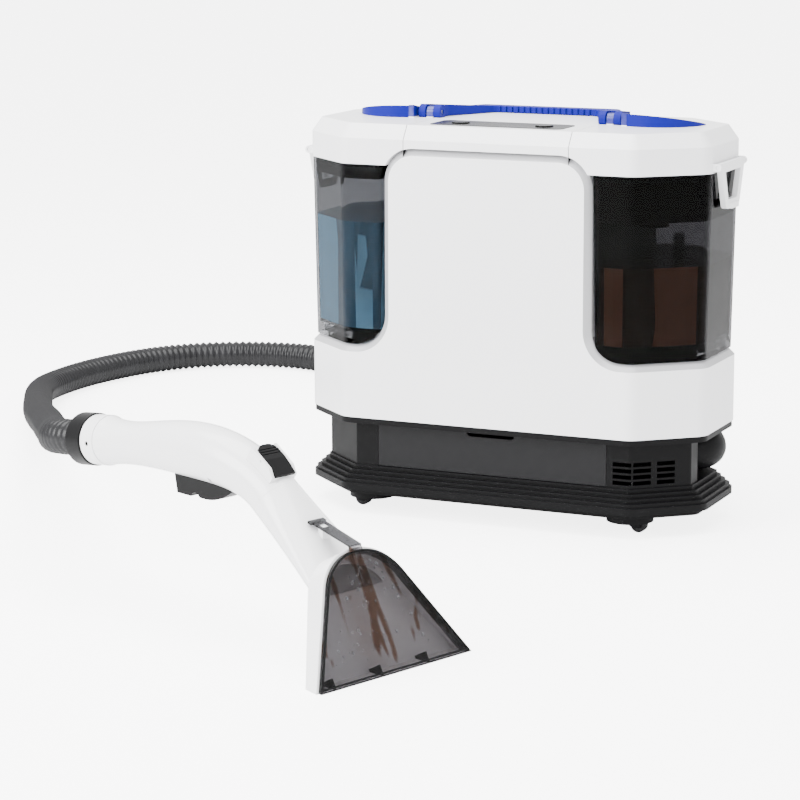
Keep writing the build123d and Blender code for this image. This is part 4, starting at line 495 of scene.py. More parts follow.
    def _smears(self, tree: bpy.types.ShaderNodeTree) -> None:
        """Soiled water that has run down inside the nozzle.

        Args:
            tree: The empty group.
        """
        takes = {"Across": (1.0, 0.0, 0.0), "Down": (0.0, 0.0, 1.0)}
        net, start, end = self._open(tree, takes, ("Mask",))
        place = net.place()
        across = net.math("MULTIPLY", net.dot(place, start["Across"]), self.runs_across)
        down = net.math("MULTIPLY", net.dot(place, start["Down"]), self.runs_down)
        laid = net.add("CombineXYZ", {"X": across, "Y": down, "Z": self.runs_slice}).outputs[0]
        runs = net.noise(laid, 1.0, self.runs_detail, self.runs_warp)
        net.feed(end, {"Mask": net.ramp(runs, {"From Min": self.runs_from, "From Max": self.runs_to})})


# ------------------------------ finishes
def new_material(name: str) -> tuple[bpy.types.Material, bpy.types.ShaderNode, Wiring]:
    """Makes a material with a Principled shader.

    Args:
        name: Name of the material.

    Returns:
        The material, its shader node and its wiring.
    """
    material = bpy.data.materials.new(name)
    material.use_nodes = True
    return material, material.node_tree.nodes["Principled BSDF"], Wiring(material.node_tree)


@dataclass(frozen=True)
class MouldedPlastic:
    """An opaque moulded plastic."""

    name: str
    colour: Colour
    roughness: float = 0.35
    spread: float = 0.06
    drift: float = 0.03
    grain_size: float = 900.0
    grain_depth: float = 0.02
    grain_height: float = 0.0004
    edge_tone: float = 0.04
    edge_radius: float = 0.0006
    coat: float = 0.0
    coat_roughness: float = 0.12
    shine: float = 0.5

    def build(self, shop: GroupShop) -> bpy.types.Material:
        """Builds the material.

        Args:
            shop: Where the shared groups come from.

        Returns:
            The material.
        """
        material, shader, net = new_material(self.name)
        values = {
            "Colour": (*self.colour, 1.0),
            "Drift": self.drift,
            "Roughness": self.roughness,
            "Spread": self.spread,
            "Grain Size": self.grain_size,
            "Edge Tone": self.edge_tone,
        }
        skin = net.add("Group", values, node_tree=shop.get(Group.MOULDED)).outputs
        soft = net.add("Bevel", {"Radius": self.edge_radius}, samples=BEVEL_SAMPLES).outputs["Normal"]
        looks = {
            "Base Color": skin["Colour"],
            "Roughness": skin["Roughness"],
            "Normal": net.bump(skin["Height"], self.grain_depth, self.grain_height, {"Normal": soft}),
            "Coat Weight": self.coat,
            "Coat Roughness": self.coat_roughness,
            "Specular IOR Level": self.shine,
        }
        net.feed(shader, looks)
        return material


@dataclass(frozen=True)
class TwoToneAndPaintedShadePlastic(MouldedPlastic):
    """A moulded plastic with a second colour where a mask says so: real blue on the cover's lugs, grey
    painted shade on the shell's bevels.
    """

    second: Colour = (0.5, 0.5, 0.5)
    mask: Group = Group.PAINTED_SHADE_BEVELS

    def build(self, shop: GroupShop) -> bpy.types.Material:
        """Builds the material.

        Args:
            shop: Where the shared groups come from.

        Returns:
            The material.
        """
        material = super().build(shop)
        net, shader = Wiring(material.node_tree), material.node_tree.nodes["Principled BSDF"]
        ground = shader.inputs["Base Color"].links[0].from_socket
        low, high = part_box("base_plate")
        values = {"Centre X": (low[0] + high[0]) / 2} if self.mask is Group.PAINTED_SHADE_BEVELS else {}
        where = net.add("Group", values, node_tree=shop.get(self.mask)).outputs["Mask"]
        # mixes in the second colour where the mask is: grey painted shade on the shell's bevels, real blue on
        # the cover's lugs
        net.feed(shader, {"Base Color": net.mix(where, ground, (*self.second, 1.0))})
        return material


@dataclass(frozen=True)
class SmokedPlastic:
    """A clear plastic with a dark tint."""

    name: str
    colour: Colour
    roughness: float = 0.04
    ior: float = 1.3
    droplets: float = 0.0
    clear: float = 1.0
    shine: float = 0.5
    haze_scale: float = 30.0
    haze_detail: float = 5.0
    clearest: float = 0.6
    haziest: float = 1.5
    bead_strength: float = 0.6
    bead_height: float = 0.0012

    def build(self, shop: GroupShop) -> bpy.types.Material:
        """Builds the material.

        Args:
            shop: Where the shared groups come from.

        Returns:
            The material.
        """
        material, shader, net = new_material(self.name)
        haze = net.noise(net.place(), self.haze_scale, self.haze_detail)
        bounds = {"To Min": self.roughness * self.clearest, "To Max": self.roughness * self.haziest}
        values = {
            "Base Color": (*self.colour, 1.0),
            "Transmission Weight": self.clear,
            "Specular IOR Level": self.shine,
            "IOR": self.ior,
            "Roughness": net.ramp(haze, bounds),
        }
        net.feed(shader, values)
        if self.droplets:
            wet = net.add("Group", {"Coverage": self.droplets}, node_tree=shop.get(Group.DROPLETS))
            bumps = net.bump(wet.outputs["Height"], self.bead_strength, self.bead_height)
            net.feed(shader, {"Normal": bumps})
        return material


@dataclass(frozen=True)
class SoiledVisor(SmokedPlastic):
    """Clear plastic with soiled runs inside it, and a darker tab."""

    soil: Colour = (0.15, 0.085, 0.06)
    tab: Colour = (0.07, 0.07, 0.075)
    tab_height: float = 0.0885

    def build(self, shop: GroupShop) -> bpy.types.Material:
        """Builds the material.

        Args:
            shop: Where the shared groups come from.

        Returns:
            The material.
        """
        material = super().build(shop)
        net, shader = Wiring(material.node_tree), material.node_tree.nodes["Principled BSDF"]
        tool = ToolSide(Datum.from_frame())
        ways = {"Across": tuple(tool.along), "Down": tuple((tool.face(1000.0) - tool.face(0.0)).normalized())}
        runs = net.add("Group", ways, node_tree=shop.get(Group.SMEARS)).outputs["Mask"]
        above = net.add("Group", {"Height": self.tab_height}, node_tree=shop.get(Group.ABOVE_TOP))
        soiled = net.mix(runs, (*self.colour, 1.0), (*self.soil, 1.0))
        net.feed(shader, {"Base Color": net.mix(above.outputs["Mask"], soiled, (*self.tab, 1.0))})
        return material


@dataclass(frozen=True)
class SoftRubber:
    """Rubber or soft black plastic."""

    name: str
    colour: Colour
    bloom: Colour
    amount: float = 0.2
    roughness: float = 0.5
    skin_depth: float = 0.05
    skin_height: float = 0.0005
    shine: float = 0.26

    def build(self, shop: GroupShop) -> bpy.types.Material:
        """Builds the material.

        Args:
            shop: Where the shared groups come from.

        Returns:
            The material.
        """
        material, shader, net = new_material(self.name)
        values = {
            "Colour": (*self.colour, 1.0),
            "Bloom": (*self.bloom, 1.0),
            "Amount": self.amount,
            "Roughness": self.roughness,
        }
        skin = net.add("Group", values, node_tree=shop.get(Group.CORRUGATED)).outputs
        looks = {
            "Base Color": skin["Colour"],
            "Roughness": skin["Roughness"],
            "Normal": net.bump(skin["Height"], self.skin_depth, self.skin_height),
            "Specular IOR Level": self.shine,
        }
        net.feed(shader, looks)
        return material


@dataclass(frozen=True)
class TurnedSteel:
    """Turned or drawn steel with fine streaks."""

    name: str
    colour: Colour = (0.6, 0.6, 0.62)
    roughness: float = 0.28
    streaks: tuple[float, float, float] = (40.0, 40.0, 2400.0)
    brightest: float = 0.7
    dullest: float = 1.4

    def build(self, shop: GroupShop) -> bpy.types.Material:
        """Builds the material.

        Args:
            shop: Where the shared groups come from; steel needs none.

        Returns:
            The material.
        """
        material, shader, net = new_material(self.name)
        stretch = net.add("Mapping", {"Vector": net.place(), "Scale": self.streaks}).outputs["Vector"]
        bounds = {"To Min": self.roughness * self.brightest, "To Max": self.roughness * self.dullest}
        rough = net.ramp(net.noise(stretch, 1.0), bounds)
        net.feed(shader, {"Base Color": (*self.colour, 1.0), "Metallic": 1.0, "Roughness": rough})
        return material


Finish = MouldedPlastic | SmokedPlastic | SoftRubber | TurnedSteel


@dataclass
class Palette:
    """Every finish of the object, built once each."""

    shop: GroupShop = field(default_factory=GroupShop)
    made: dict[str, bpy.types.Material] = field(default_factory=dict)

    WHITE = MouldedPlastic("white_gloss_shell", (0.9, 0.9, 0.915), 0.3, coat=0.25)
    # the shell's bevels get a grey painted shade
    WHITE_SHELL = TwoToneAndPaintedShadePlastic(
        "white_shell_painted_shade_bevels", (0.9, 0.9, 0.915), 0.3, coat=0.25, second=(0.42, 0.42, 0.435)
    )
    WHITE_COVER = TwoToneAndPaintedShadePlastic(
        "white_cover_blue_lugs",
        (0.9, 0.9, 0.915),
        0.3,
        coat=0.25,
        second=(0.003, 0.0035, 0.18),
        mask=Group.ABOVE_TOP,
    )
    WHITE_TOOL = MouldedPlastic("white_tool_shell", (0.9, 0.9, 0.91), 0.26, coat=0.35)
    BLACK_BASE = MouldedPlastic(
        "black_base_satin", (0.003, 0.003, 0.0033), 0.45, grain_depth=0.05, edge_tone=0.3, shine=0.09
    )
    BLACK_PANEL = MouldedPlastic("charcoal_cover", (0.008, 0.008, 0.0088), 0.4, shine=0.14)
    BLACK_TRIM = MouldedPlastic("black_trim", (0.0025, 0.0025, 0.0028), 0.36, edge_tone=0.4, shine=0.12)
    DARK_TRIM = MouldedPlastic("dark_inner_parts", (0.008, 0.008, 0.009), 0.45, shine=0.1)
    STRIP = MouldedPlastic("glossy_control_strip", (0.004, 0.004, 0.0045), 0.25, shine=0.12)
    BLUE = MouldedPlastic("royal_blue_grip", (0.003, 0.0035, 0.18), 0.5, shine=0.12)
    BOARD = MouldedPlastic("circuit_board_green", (0.03, 0.16, 0.07), 0.45)
    FLOAT = MouldedPlastic("amber_float", (0.6, 0.2, 0.05), 0.4)
    TANK_CLEAN = SmokedPlastic("smoked_clean_tank", (0.26, 0.265, 0.28), 0.03, 1.12, shine=0.2)
    TANK_DIRTY = SmokedPlastic("smoked_dirty_tank", (0.13, 0.13, 0.138), 0.03, 1.12, shine=0.2)
    VISOR = SoiledVisor("smoked_nozzle_cover", (0.36, 0.35, 0.36), 0.04, 1.2, droplets=0.22, shine=0.3)
    WATER = SmokedPlastic("clean_water", (0.13, 0.25, 0.35), 0.1, 1.1, clear=0.0)
    SOILED = SmokedPlastic("soiled_water", (0.085, 0.036, 0.022), 0.2, 1.1, clear=0.0)
    BEAD = SmokedPlastic("water_bead", (0.7, 0.72, 0.76), 0.02, 1.33)
    STEEL = TurnedSteel("turned_steel")
    SEAL = SoftRubber("seal_rubber", (0.02, 0.02, 0.02), (0.1, 0.1, 0.1))
    WHEEL = SoftRubber("hard_wheel_rubber", (0.008, 0.008, 0.0085), (0.06, 0.06, 0.06))
    HOSE = SoftRubber("ribbed_hose_skin", (0.008, 0.008, 0.009), (0.03, 0.03, 0.033), 0.3, 0.3)

    def get(self, finish: Finish) -> bpy.types.Material:
        """Gives a finish's material, and builds it when it is first asked for.

        Args:
            finish: The finish that is wanted.

        Returns:
            The material.
        """
        if finish.name not in self.made:
            self.made[finish.name] = finish.build(self.shop)
        return self.made[finish.name]


# ------------------------------ mesh helpers
def dress(piece: bpy.types.Object, material: bpy.types.Material) -> None:
    """Puts one material on every face of a piece.

    Args:
        piece: The piece.
        material: Its material.
    """
    piece.data.materials.clear()
    piece.data.materials.append(material)


def piece_from(mesh_in: bmesh.types.BMesh, name: str, smooth: bool = True) -> bpy.types.Object:
    """Makes an object of a bmesh, with outward faces, and frees the bmesh.

    Args:
        mesh_in: The finished bmesh, in the row frame.
        name: Name of the new object.
        smooth: Whether its faces are shaded smooth.

    Returns:
        The new object.
    """
    bmesh.ops.remove_doubles(mesh_in, verts=mesh_in.verts[:], dist=MERGE)
    bmesh.ops.recalc_face_normals(mesh_in, faces=mesh_in.faces[:])
    for face in mesh_in.faces:
        face.smooth = smooth
    data = bpy.data.meshes.new(name)
    mesh_in.to_mesh(data)
    mesh_in.free()
    piece = bpy.data.objects.new(name, data)
    bpy.context.scene.collection.objects.link(piece)
    return piece


def thicken(mesh_in: bmesh.types.BMesh, faces: Sequence[bmesh.types.BMFace], by: Vector) -> None:
    """Extrudes flat faces into closed blocks.

    Args:
        mesh_in: The bmesh that holds them.
        faces: The faces.
        by: How far they go, in metres.
    """
    grown = bmesh.ops.extrude_face_region(mesh_in, geom=list(faces))["geom"]
    moved = [item for item in grown if isinstance(item, bmesh.types.BMVert)]
    bmesh.ops.translate(mesh_in, vec=by, verts=moved)


# ------------------------------ stage
@dataclass
class Studio:
    """Camera, pale floor and soft light."""

    datum: Datum
    turn: float = math.radians(24.285)
    drop: float = math.radians(11.165)
    roll: float = math.radians(0.155)
    eye: tuple[float, float, float] = (958.163, -2393.475, 608.040)
    lens: float = 128.62
    sensor: float = 36.0
    view_end: float = 100.0
    floor_half: float = 30.0
    floor_tone: float = 0.93
    floor_roughness: float = 0.6
    floor_glow: float = 4.5
    room_light: float = 1.8
    aim: tuple[float, float, float] = (-60.0, -100.0, 150.0)

    def make_camera(self) -> None:
        """Makes the scene's camera."""
        right = Vector((math.cos(self.turn), math.sin(self.turn), 0.0))
        back = Vector(
            (
                math.sin(self.turn) * math.cos(self.drop),
                -math.cos(self.turn) * math.cos(self.drop),
                math.sin(self.drop),
            )
        )
        up = back.cross(right)
        cos, sin = math.cos(self.roll), math.sin(self.roll)
        x_axis, y_axis = right * cos - up * sin, right * sin + up * cos
        data = bpy.data.cameras.new("camera")
        data.lens = self.lens
        data.sensor_width = self.sensor
        data.clip_end = self.view_end
        camera = bpy.data.objects.new("camera", data)
        turn = Matrix((x_axis, y_axis, back)).transposed().to_4x4()
        camera.matrix_world = Matrix.Translation(self.datum.at(*self.eye)) @ turn
        bpy.context.scene.collection.objects.link(camera)
        bpy.context.scene.camera = camera

    def make_floor(self) -> None:
        """Makes the pale floor."""
        sheet = bmesh.new()
        bmesh.ops.create_grid(sheet, x_segments=1, y_segments=1, size=self.floor_half)
        floor = piece_from(sheet, "floor")
        material, shader, net = new_material("pale_floor")
        seen = net.add("LightPath").outputs["Is Camera Ray"]
        values = {
            "Base Color": (self.floor_tone, self.floor_tone, self.floor_tone, 1.0),
            "Roughness": self.floor_roughness,
            "Emission Color": (1.0, 1.0, 1.0, 1.0),
            "Emission Strength": net.math("MULTIPLY", seen, self.floor_glow),
        }
        net.feed(shader, values)
        dress(floor, material)

    def make_light(self) -> None:
        """Makes the soft boxes and the pale surroundings."""
        world = bpy.data.worlds.new("pale_room")
        world.use_nodes = True
        sky = world.node_tree.nodes["Background"]
        Wiring(world.node_tree).feed(sky, {"Color": (1.0, 1.0, 1.0, 1.0), "Strength": self.room_light})
        bpy.context.scene.world = world
        # Each box: its name, its place in millimetres, its side in metres and its power in watts
        boxes = (
            ("top_box", (-300.0, -300.0, 1900.0), 1.8, 90.0),
            ("left_box", (-1500.0, -2100.0, 1300.0), 1.4, 110.0),
            ("right_box", (1900.0, -900.0, 900.0), 1.2, 10.0),
        )
        aim = self.datum.at(*self.aim)
        for name, place, size, power in boxes:
            data = bpy.data.lights.new(name, "AREA")
            data.shape = "SQUARE"
            data.size = size
            data.energy = power
            lamp = bpy.data.objects.new(name, data)
            lamp.location = self.datum.at(*place)
            lamp.rotation_euler = (aim - lamp.location).to_track_quat("-Z", "Y").to_euler()
            bpy.context.scene.collection.objects.link(lamp)

    def build(self) -> None:
        """Makes the camera, the floor and the light."""
        self.make_camera()
        self.make_floor()
        self.make_light()
        log.info("studio: camera, floor and light")


# ------------------------------ hose
@dataclass
class RibbedHose:
    """The suction hose: a closely ribbed tube on one smooth line."""

    datum: Datum
    palette: Palette
    radius: float = 15.0
    valley: float = 2.5
    pitch: float = 7.6
    sides: int = 22
    profile: tuple[float, ...] = (0.0, 0.55, 1.0, 0.55)
    smoothness: int = 40
    order: int = 3
    path_step: float = 0.01
    route: tuple[tuple[float, float, float], ...] = ()

    def centreline(self) -> list[Vector]:
        """Reads points along the smooth line of the hose.

        Returns:
            Points in the row frame, in order.
        """
        data = bpy.data.curves.new("hose_line", "CURVE")
        data.dimensions = "3D"
        data.resolution_u = self.smoothness
        spline = data.splines.new("NURBS")
        spline.points.add(len(self.route) - 1)
        for point, place in zip(spline.points, self.route):
            point.co = (*self.datum.at(*place), 1.0)
        spline.order_u = self.order
        spline.use_endpoint_u = True
        line = bpy.data.objects.new("hose_line", data)
        bpy.context.scene.collection.objects.link(line)
        bpy.context.view_layer.update()
        mesh = bpy.data.meshes.new_from_object(line)
        points = [vertex.co.copy() for vertex in mesh.vertices]
        bpy.data.objects.remove(line)
        bpy.data.curves.remove(data)
        bpy.data.meshes.remove(mesh)
        return points

    @staticmethod
    def even(points: Sequence[Vector], step: float) -> list[Vector]:
        """Spaces points evenly along the same line.

        Args:
            points: Points on the line.
            step: Wanted distance between neighbours, in metres.

        Returns:
            Evenly spaced points, both ends kept.
        """
        runs = [(b - a).length for a, b in zip(points, points[1:])]
        total = sum(runs)
        count = max(2, round(total / step))
        out, walked, leg = [points[0].copy()], 0.0, 0
        for index in range(1, count):
            want = total * index / count
            while walked + runs[leg] < want:
                walked += runs[leg]
                leg += 1
            share = (want - walked) / runs[leg]
            out.append(points[leg].lerp(points[leg + 1], share))
        out.append(points[-1].copy())
        return out

    def build(self, cuff: bpy.types.Object) -> bpy.types.Object:
        """Args:
            cuff: The tool's cuff, on the hose's far end; not used.

        Returns:
            The hose.
        """
        line = self.centreline()
        steps = len(self.profile)
        beads = self.even(line, self.pitch * MM / steps)
        tube = bmesh.new()
        first = bmesh.ops.create_circle(tube, cap_ends=True, segments=self.sides, radius=1.0)
        ring = first["verts"]
        edges = list(dict.fromkeys(edge for v in ring for edge in v.link_edges if not edge.is_wire))
        edges = [edge for edge in edges if all(v in ring for v in edge.verts)]
        side = Vector((0.0, 0.0, 1.0))
        frames: list[Matrix] = []
        for index, point in enumerate(beads):
            ahead = beads[min(index + 1, len(beads) - 1)] - beads[max(index - 1, 0)]
            z = ahead.normalized()
            x = (side - z * side.dot(z)).normalized()
            side = x
            reach = (self.radius - self.valley * self.profile[index % steps]) * MM
            turn = Matrix((x, z.cross(x), z)).transposed().to_4x4()
            frames.append(Matrix.Translation(point) @ turn @ Matrix.Scale(reach, 4))
        bmesh.ops.transform(tube, matrix=frames[0], verts=ring)
        for before, after in zip(frames, frames[1:]):
            grown = bmesh.ops.extrude_edge_only(tube, edges=edges)["geom"]
            ring = [item for item in grown if isinstance(item, bmesh.types.BMVert)]
            edges = [item for item in grown if isinstance(item, bmesh.types.BMEdge)]
            bmesh.ops.transform(tube, matrix=after @ before.inverted(), verts=ring)
            edges = [edge for edge in edges if all(v in set(ring) for v in edge.verts)]
        bmesh.ops.holes_fill(tube, edges=edges)
        hose = piece_from(tube, "ribbed_hose")
        dress(hose, self.palette.get(Palette.HOSE))
        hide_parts("hose")
        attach(hose, "machine")
        [tuple(point) for point in self.even(line, self.path_step)]
        return hose


# ------------------------------ painted shade in the splits
@dataclass
class SplitShadeSheets:
    """Dark sheets of painted shade in the two splits between the centre cover and the lids."""

    datum: Datum
    palette: Palette
    split_x: float = 78.3
    thick: float = 0.4
    front_y: float = -88.1
    back_y: float = -17.4
    low: float = 322.0
    chamfer_z: float = 343.4
    top_y: float = -79.3
    top: float = 356.1

    def build(self) -> bpy.types.Object:
        """Makes both shade sheets as one piece.

        Returns:
            The shade sheets.
        """
        sheet = bmesh.new()
        profile = (
            (self.front_y, self.low),
            (self.back_y, self.low),
            (self.back_y, self.top),
            (self.top_y, self.top),
            (self.front_y, self.chamfer_z),
        )
        # each split gets a thin black sheet that stands for the shade inside the gap: painted shade
        for side in (-1, 1):
            corners = [
                sheet.verts.new(self.datum.at(side * self.split_x - self.thick / 2, y, z)) for y, z in profile
            ]
            thicken(sheet, [sheet.faces.new(corners)], Vector((self.thick * MM, 0.0, 0.0)))
        shade_sheets = piece_from(sheet, "split_shade_sheets", smooth=False)
        dress(shade_sheets, self.palette.get(Palette.BLACK_TRIM))
        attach(shade_sheets, "machine")
        log.info("split shade sheets: 2")
        return shade_sheets


# ------------------------------ what the tanks hold
class TankEnd(Enum):
    """The end of the machine that a tank stands at: -1 is left and 1 is right."""

    CLEAN = -1
    DIRTY = 1


@dataclass
class TankFill:
    """The water that stands in a tank, a body with the tank's own plan."""

    datum: Datum
    palette: Palette
    body_x: float = 192.0
    body_y: float = 88.5
    facet_x: float = 138.0
    facet_y: float = 42.0
    tower_x: float = 99.6
    floor: float = 171.0
    top: float = 319.9
    wall: float = 3.2
    draft: float = math.tan(math.radians(1.0))
    facet_inset: float = 0.4
    edge_r: float = 8.0
    edge_steps: int = 5
    standing: float = 0.01
    clean_level: float = 268.0
    soiled_level: float = 240.0

    def plan(self, end: TankEnd, height: float) -> list[Vector]:
        """Lists the corners of the fill at one height.

        Args:
            end: The tank that it stands in.
            height: Millimetres above the floor.

        Returns:
            The corners in order round the fill.
        """
        inset = self.wall + (self.top - height) * self.draft
        inner = self.tower_x + self.wall
        slant = inset * self.facet_inset
        corners = (
            (inner, -self.body_y + inset),
            (self.facet_x - slant, -self.body_y + inset),
            (self.body_x - inset, -self.facet_y + slant),
            (self.body_x - inset, self.facet_y - slant),
            (self.facet_x - slant, self.body_y - inset),
            (inner, self.body_y - inset),
        )
        return [self.datum.at(end.value * x, y, height) for x, y in corners]

    def build(self, end: TankEnd, level: float, name: str, body: str, finish: Finish) -> bpy.types.Object:
        """Makes one fill.

        Args:
            end: The tank that it stands in.
            level: Height of the water's surface in millimetres above the floor.
            name: Name of the piece.
            body: The body that carries it.
            finish: Its finish.

        Returns:
            The fill.
        """
        pool = bmesh.new()
        rings = [[pool.verts.new(p) for p in self.plan(end, z)] for z in (self.floor, level)]
        for ring in rings:
            pool.faces.new(ring)
        loops = [[pool.edges.get((a, b)) for a, b in zip(ring, ring[1:] + ring[:1])] for ring in rings]
        bmesh.ops.bridge_loops(pool, edges=loops[0] + loops[1])
        upright = [e for e in pool.edges if abs(e.verts[0].co.z - e.verts[1].co.z) > self.standing]
        bmesh.ops.bevel(
            pool,
            geom=upright,
            offset=self.edge_r * MM,
            segments=self.edge_steps,
            affect="EDGES",
            profile=0.5,
            material=-1,
        )
        fill = piece_from(pool, name, smooth=False)
        dress(fill, self.palette.get(finish))
        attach(fill, body)
        log.info("%s: up to %.0f mm", name, level)
        return fill


# ------------------------------ rims and screws of the tool
@dataclass
class ToolTrim:
    """Dark rim of the nozzle's cover, and the screw in the handle's ring."""

    tool: ToolSide
    palette: Palette
    half_lip: float = 78.3
    shoulder: float = 27.2
    top: float = 94.6
    arch_r: float = 42.6
    rim: float = 1.6
    face_deep: float = -3.15
    rim_deep: float = 2.2
    arch_steps: int = 10
    foot: float = 0.6
    foot_rim: float = 1.4
    foot_nip: float = 1.0
    foot_step: float = 0.05
    ring_at: tuple[float, float] = (328.4, 127.65)
    ring_r: float = 20.6
    screw_r: float = 1.75
    screw_sunk: float = 2.0
    screw_deep: float = 2.4
    screw_sides: int = 24

    def rim_line(self, inset: float) -> list[tuple[float, float]]:
        """Lists the cover's outline from one end of the lip to the other.

        Args:
            inset: Millimetres that the line lies inside the outline.

        Returns:
            Pairs of millimetres along the lip and up the face.
        """
        side = math.atan2(self.top, self.half_lip - self.shoulder)
        reach = self.arch_r * math.tan(side / 2)
        centre = (self.shoulder - reach, self.top - self.arch_r)
        radius = self.arch_r - inset
        turns = (side * (1 - step / self.arch_steps) for step in range(self.arch_steps + 1))
        arch = [(centre[0] + radius * math.sin(t), centre[1] + radius * math.cos(t)) for t in turns]
        half = [(self.half_lip - inset / math.sin(side), self.foot), *arch]
        return half + [(-along, up) for along, up in reversed(half)]

    def build_rim(self) -> bpy.types.Object:
        """Makes the rim as a closed band round the cover's face.

        Returns:
            The rim, which rides with the cover.
        """
        band = bmesh.new()
        outer, inner = (
            [band.verts.new(self.tool.face(up, self.face_deep, along)) for along, up in self.rim_line(inset)]
            for inset in (0.0, self.rim)
        )
        faces = [
            band.faces.new((outer[i], outer[i + 1], inner[i + 1], inner[i])) for i in range(len(outer) - 1)
        ]
        nipped, high = self.half_lip - self.foot_nip, self.foot + self.foot_rim
        foot = ((-self.half_lip, self.foot), (self.half_lip, self.foot), (nipped, high), (-nipped, high))
        deep = self.face_deep - self.foot_step
        faces.append(band.faces.new([band.verts.new(self.tool.face(up, deep, along)) for along, up in foot]))
        thicken(band, faces, self.tool.face(0.0, self.rim_deep) - self.tool.face(0.0))
        rim = piece_from(band, "cover_rim", smooth=False)
        dress(rim, self.palette.get(Palette.BLACK_TRIM))
        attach(rim, "nozzle_cover")
        log.info("cover rim")
        return rim

    def build_screw(self) -> bpy.types.Object:
        """Makes the dark screw that sits in the ring's side.

        Returns:
            The screw.
        """
        screw = bmesh.new()
        place = self.tool.at(*self.ring_at, along=-(self.ring_r - self.screw_sunk))
        turn = self.tool.along.to_track_quat("Z", "X").to_matrix().to_4x4()
        bmesh.ops.create_cone(
            screw,
            cap_ends=True,
            segments=self.screw_sides,
            radius1=self.screw_r * MM,
            radius2=self.screw_r * MM,
            depth=self.screw_deep * MM,
            matrix=Matrix.Translation(place) @ turn,
        )
        piece = piece_from(screw, "ring_screw", smooth=False)
        dress(piece, self.palette.get(Palette.BLACK_TRIM))
        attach(piece, "machine")
        log.info("ring screw")
        return piece


# ------------------------------ water on the nozzle
@dataclass
class NozzleBeads:
    """Beads of water on the nozzle's clear cover."""

    tool: ToolSide
    palette: Palette
    count: int = 90
    seed: int = 7
    lowest: float = 12.0
    rise: float = 74.0
    half_width: float = 66.0
    taper: float = 0.62
    smallest: float = 0.5
    growth: float = 1.1
    seat: float = -3.0
    stretch: float = 1.15
    flatness: float = 0.5

    def build(self) -> bpy.types.Object:
        """Makes all beads as one piece that rides with the cover.

        Returns:
            The beads.
        """
        draw = random.Random(self.seed)
        out = self.tool.face(0.0, -1.0) - self.tool.face(0.0)
        turn = self.tool.axes(out)
        beads = bmesh.new()
        for _ in range(self.count):
            up = self.lowest + self.rise * draw.random()
            half = self.half_width - self.taper * up
            along = (2.0 * draw.random() - 1.0) * half
            size = self.smallest + self.growth * draw.random() ** 2
            where = Matrix.Translation(self.tool.face(up, self.seat, along)) @ turn
            squash = Matrix.Diagonal((size * MM, size * self.stretch * MM, self.flatness * size * MM, 1.0))
            bmesh.ops.create_icosphere(beads, subdivisions=2, radius=1.0, matrix=where @ squash)
        piece = piece_from(beads, "nozzle_beads")
        dress(piece, self.palette.get(Palette.BEAD))
        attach(piece, "nozzle_cover")
        log.info("nozzle beads: %d", self.count)
        return piece


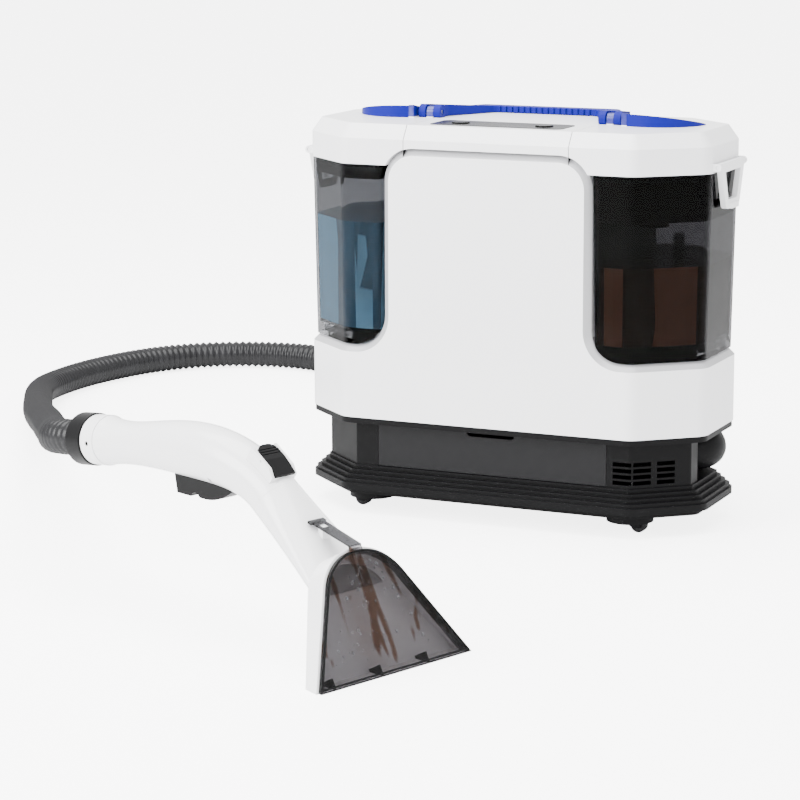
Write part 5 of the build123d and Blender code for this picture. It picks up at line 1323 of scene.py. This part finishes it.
# ------------------------------ carried-over nodes
@dataclass
class NodeFinishes:
    """Finishes of the frame's own nodes."""

    palette: Palette

    def table(self) -> dict[str, Finish]:
        """Lists the finish of every node that stays.

        Returns:
            Node name to finish.
        """
        groups: tuple[tuple[Finish, str], ...] = (
            (Palette.WHITE_SHELL, "front_shell rear_shell"),
            (Palette.WHITE_COVER, "centre_cover clean_lid dirty_lid"),
            (Palette.WHITE, "clean_bail dirty_bail"),
            (Palette.WHITE_TOOL, "tool_handle handle_ring latch_block nozzle_body"),
            (Palette.BLACK_BASE, "base_plate base_housing caster_cups port_elbow"),
            (Palette.BLACK_PANEL, "service_cover"),
            (Palette.BLUE, "carry_handle clean_grip dirty_grip"),
            (Palette.STRIP, "control_strip power_button mode_button"),
            (Palette.TANK_CLEAN, "clean_tank"),
            (Palette.TANK_DIRTY, "dirty_tank"),
            (Palette.VISOR, "nozzle_cover"),
            (Palette.FLOAT, "tank_float"),
            (Palette.STEEL, "handle_pins suction_motor tool_pins"),
            (Palette.BOARD, "control_board"),
            (Palette.SEAL, "clean_seal dirty_seal"),
            (
                Palette.DARK_TRIM,
                "clean_valve clean_skirt dirty_skirt motor_mount fan_housing motor_fan "
                "water_pump suction_riser spray_valve",
            ),
            (
                Palette.BLACK_TRIM,
                "hose_collar mains_gland cord_rack upper_hook lower_hook trigger hose_cuff "
                "release_button spray_tip nozzle_rails",
            ),
        )
        table = {name: finish for finish, names in groups for name in names.split()}
        for row in ("front", "rear"):
            for end in ("left", "right"):
                table[f"{row}_{end}_fork"] = Palette.BLACK_TRIM
                table[f"{row}_{end}_wheel"] = Palette.WHEEL
        return table

    def build(self, nodes: dict[str, bpy.types.Object]) -> None:
        """Dresses every node of the frame.

        Args:
            nodes: The frame's nodes by name.
        """
        table = self.table()
        for name, node in nodes.items():
            if name in table:
                dress(node, self.palette.get(table[name]))
            elif name != "hose":
                log.warning("node %s has no finish of its own", name)
        log.info("nodes: %d dressed", len(nodes))


# Millimetres from the machine's centre, from the port to the tool's cuff
HOSE_ROUTE = (
    (152.595, 66.606, 64.5), (134.076, 107.619, 64.5), (102.0, 152.0, 34.0),
    (42.0, 212.0, 15.3), (-62.0, 272.0, 15.3), (-180.0, 352.0, 15.3),
    (-290.0, 430.0, 15.3), (-375.0, 493.0, 15.3), (-449.5, 531.8, 15.3),
    (-513.5, 539.5, 15.3), (-576.6, 520.0, 15.3), (-624.0, 475.0, 15.3),
    (-651.5, 415.0, 15.3), (-666.0, 338.6, 15.3), (-661.0, 259.0, 16.5),
    (-632.0, 189.0, 23.0), (-580.0, 103.0, 34.0), (-510.0, -12.0, 52.5),
    (-442.0, -117.0, 70.5), (-380.0, -207.0, 86.5), (-330.0, -282.0, 98.0),
    (-290.0, -340.0, 109.0), (-256.08, -399.331, 121.207), (-218.689, -413.014, 125.041),
)


def main() -> None:
    """Builds every piece in order."""
    logging.basicConfig(level=logging.INFO, format="%(name)s: %(message)s")
    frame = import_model()
    datum = Datum.from_frame()
    palette = Palette()
    Studio(datum).build()
    RibbedHose(datum, palette, route=HOSE_ROUTE).build(frame["nodes"]["hose_cuff"])
    SplitShadeSheets(datum, palette).build()
    fill = TankFill(datum, palette)
    fill.build(TankEnd.CLEAN, fill.clean_level, "clean_water", "clean_tank", Palette.WATER)
    fill.build(TankEnd.DIRTY, fill.soiled_level, "soiled_water", "dirty_tank", Palette.SOILED)
    trim = ToolTrim(ToolSide(datum), palette)
    trim.build_rim()
    trim.build_screw()
    NozzleBeads(ToolSide(datum), palette).build()
    NodeFinishes(palette).build(frame["nodes"])


if __name__ == "__main__":
    main()
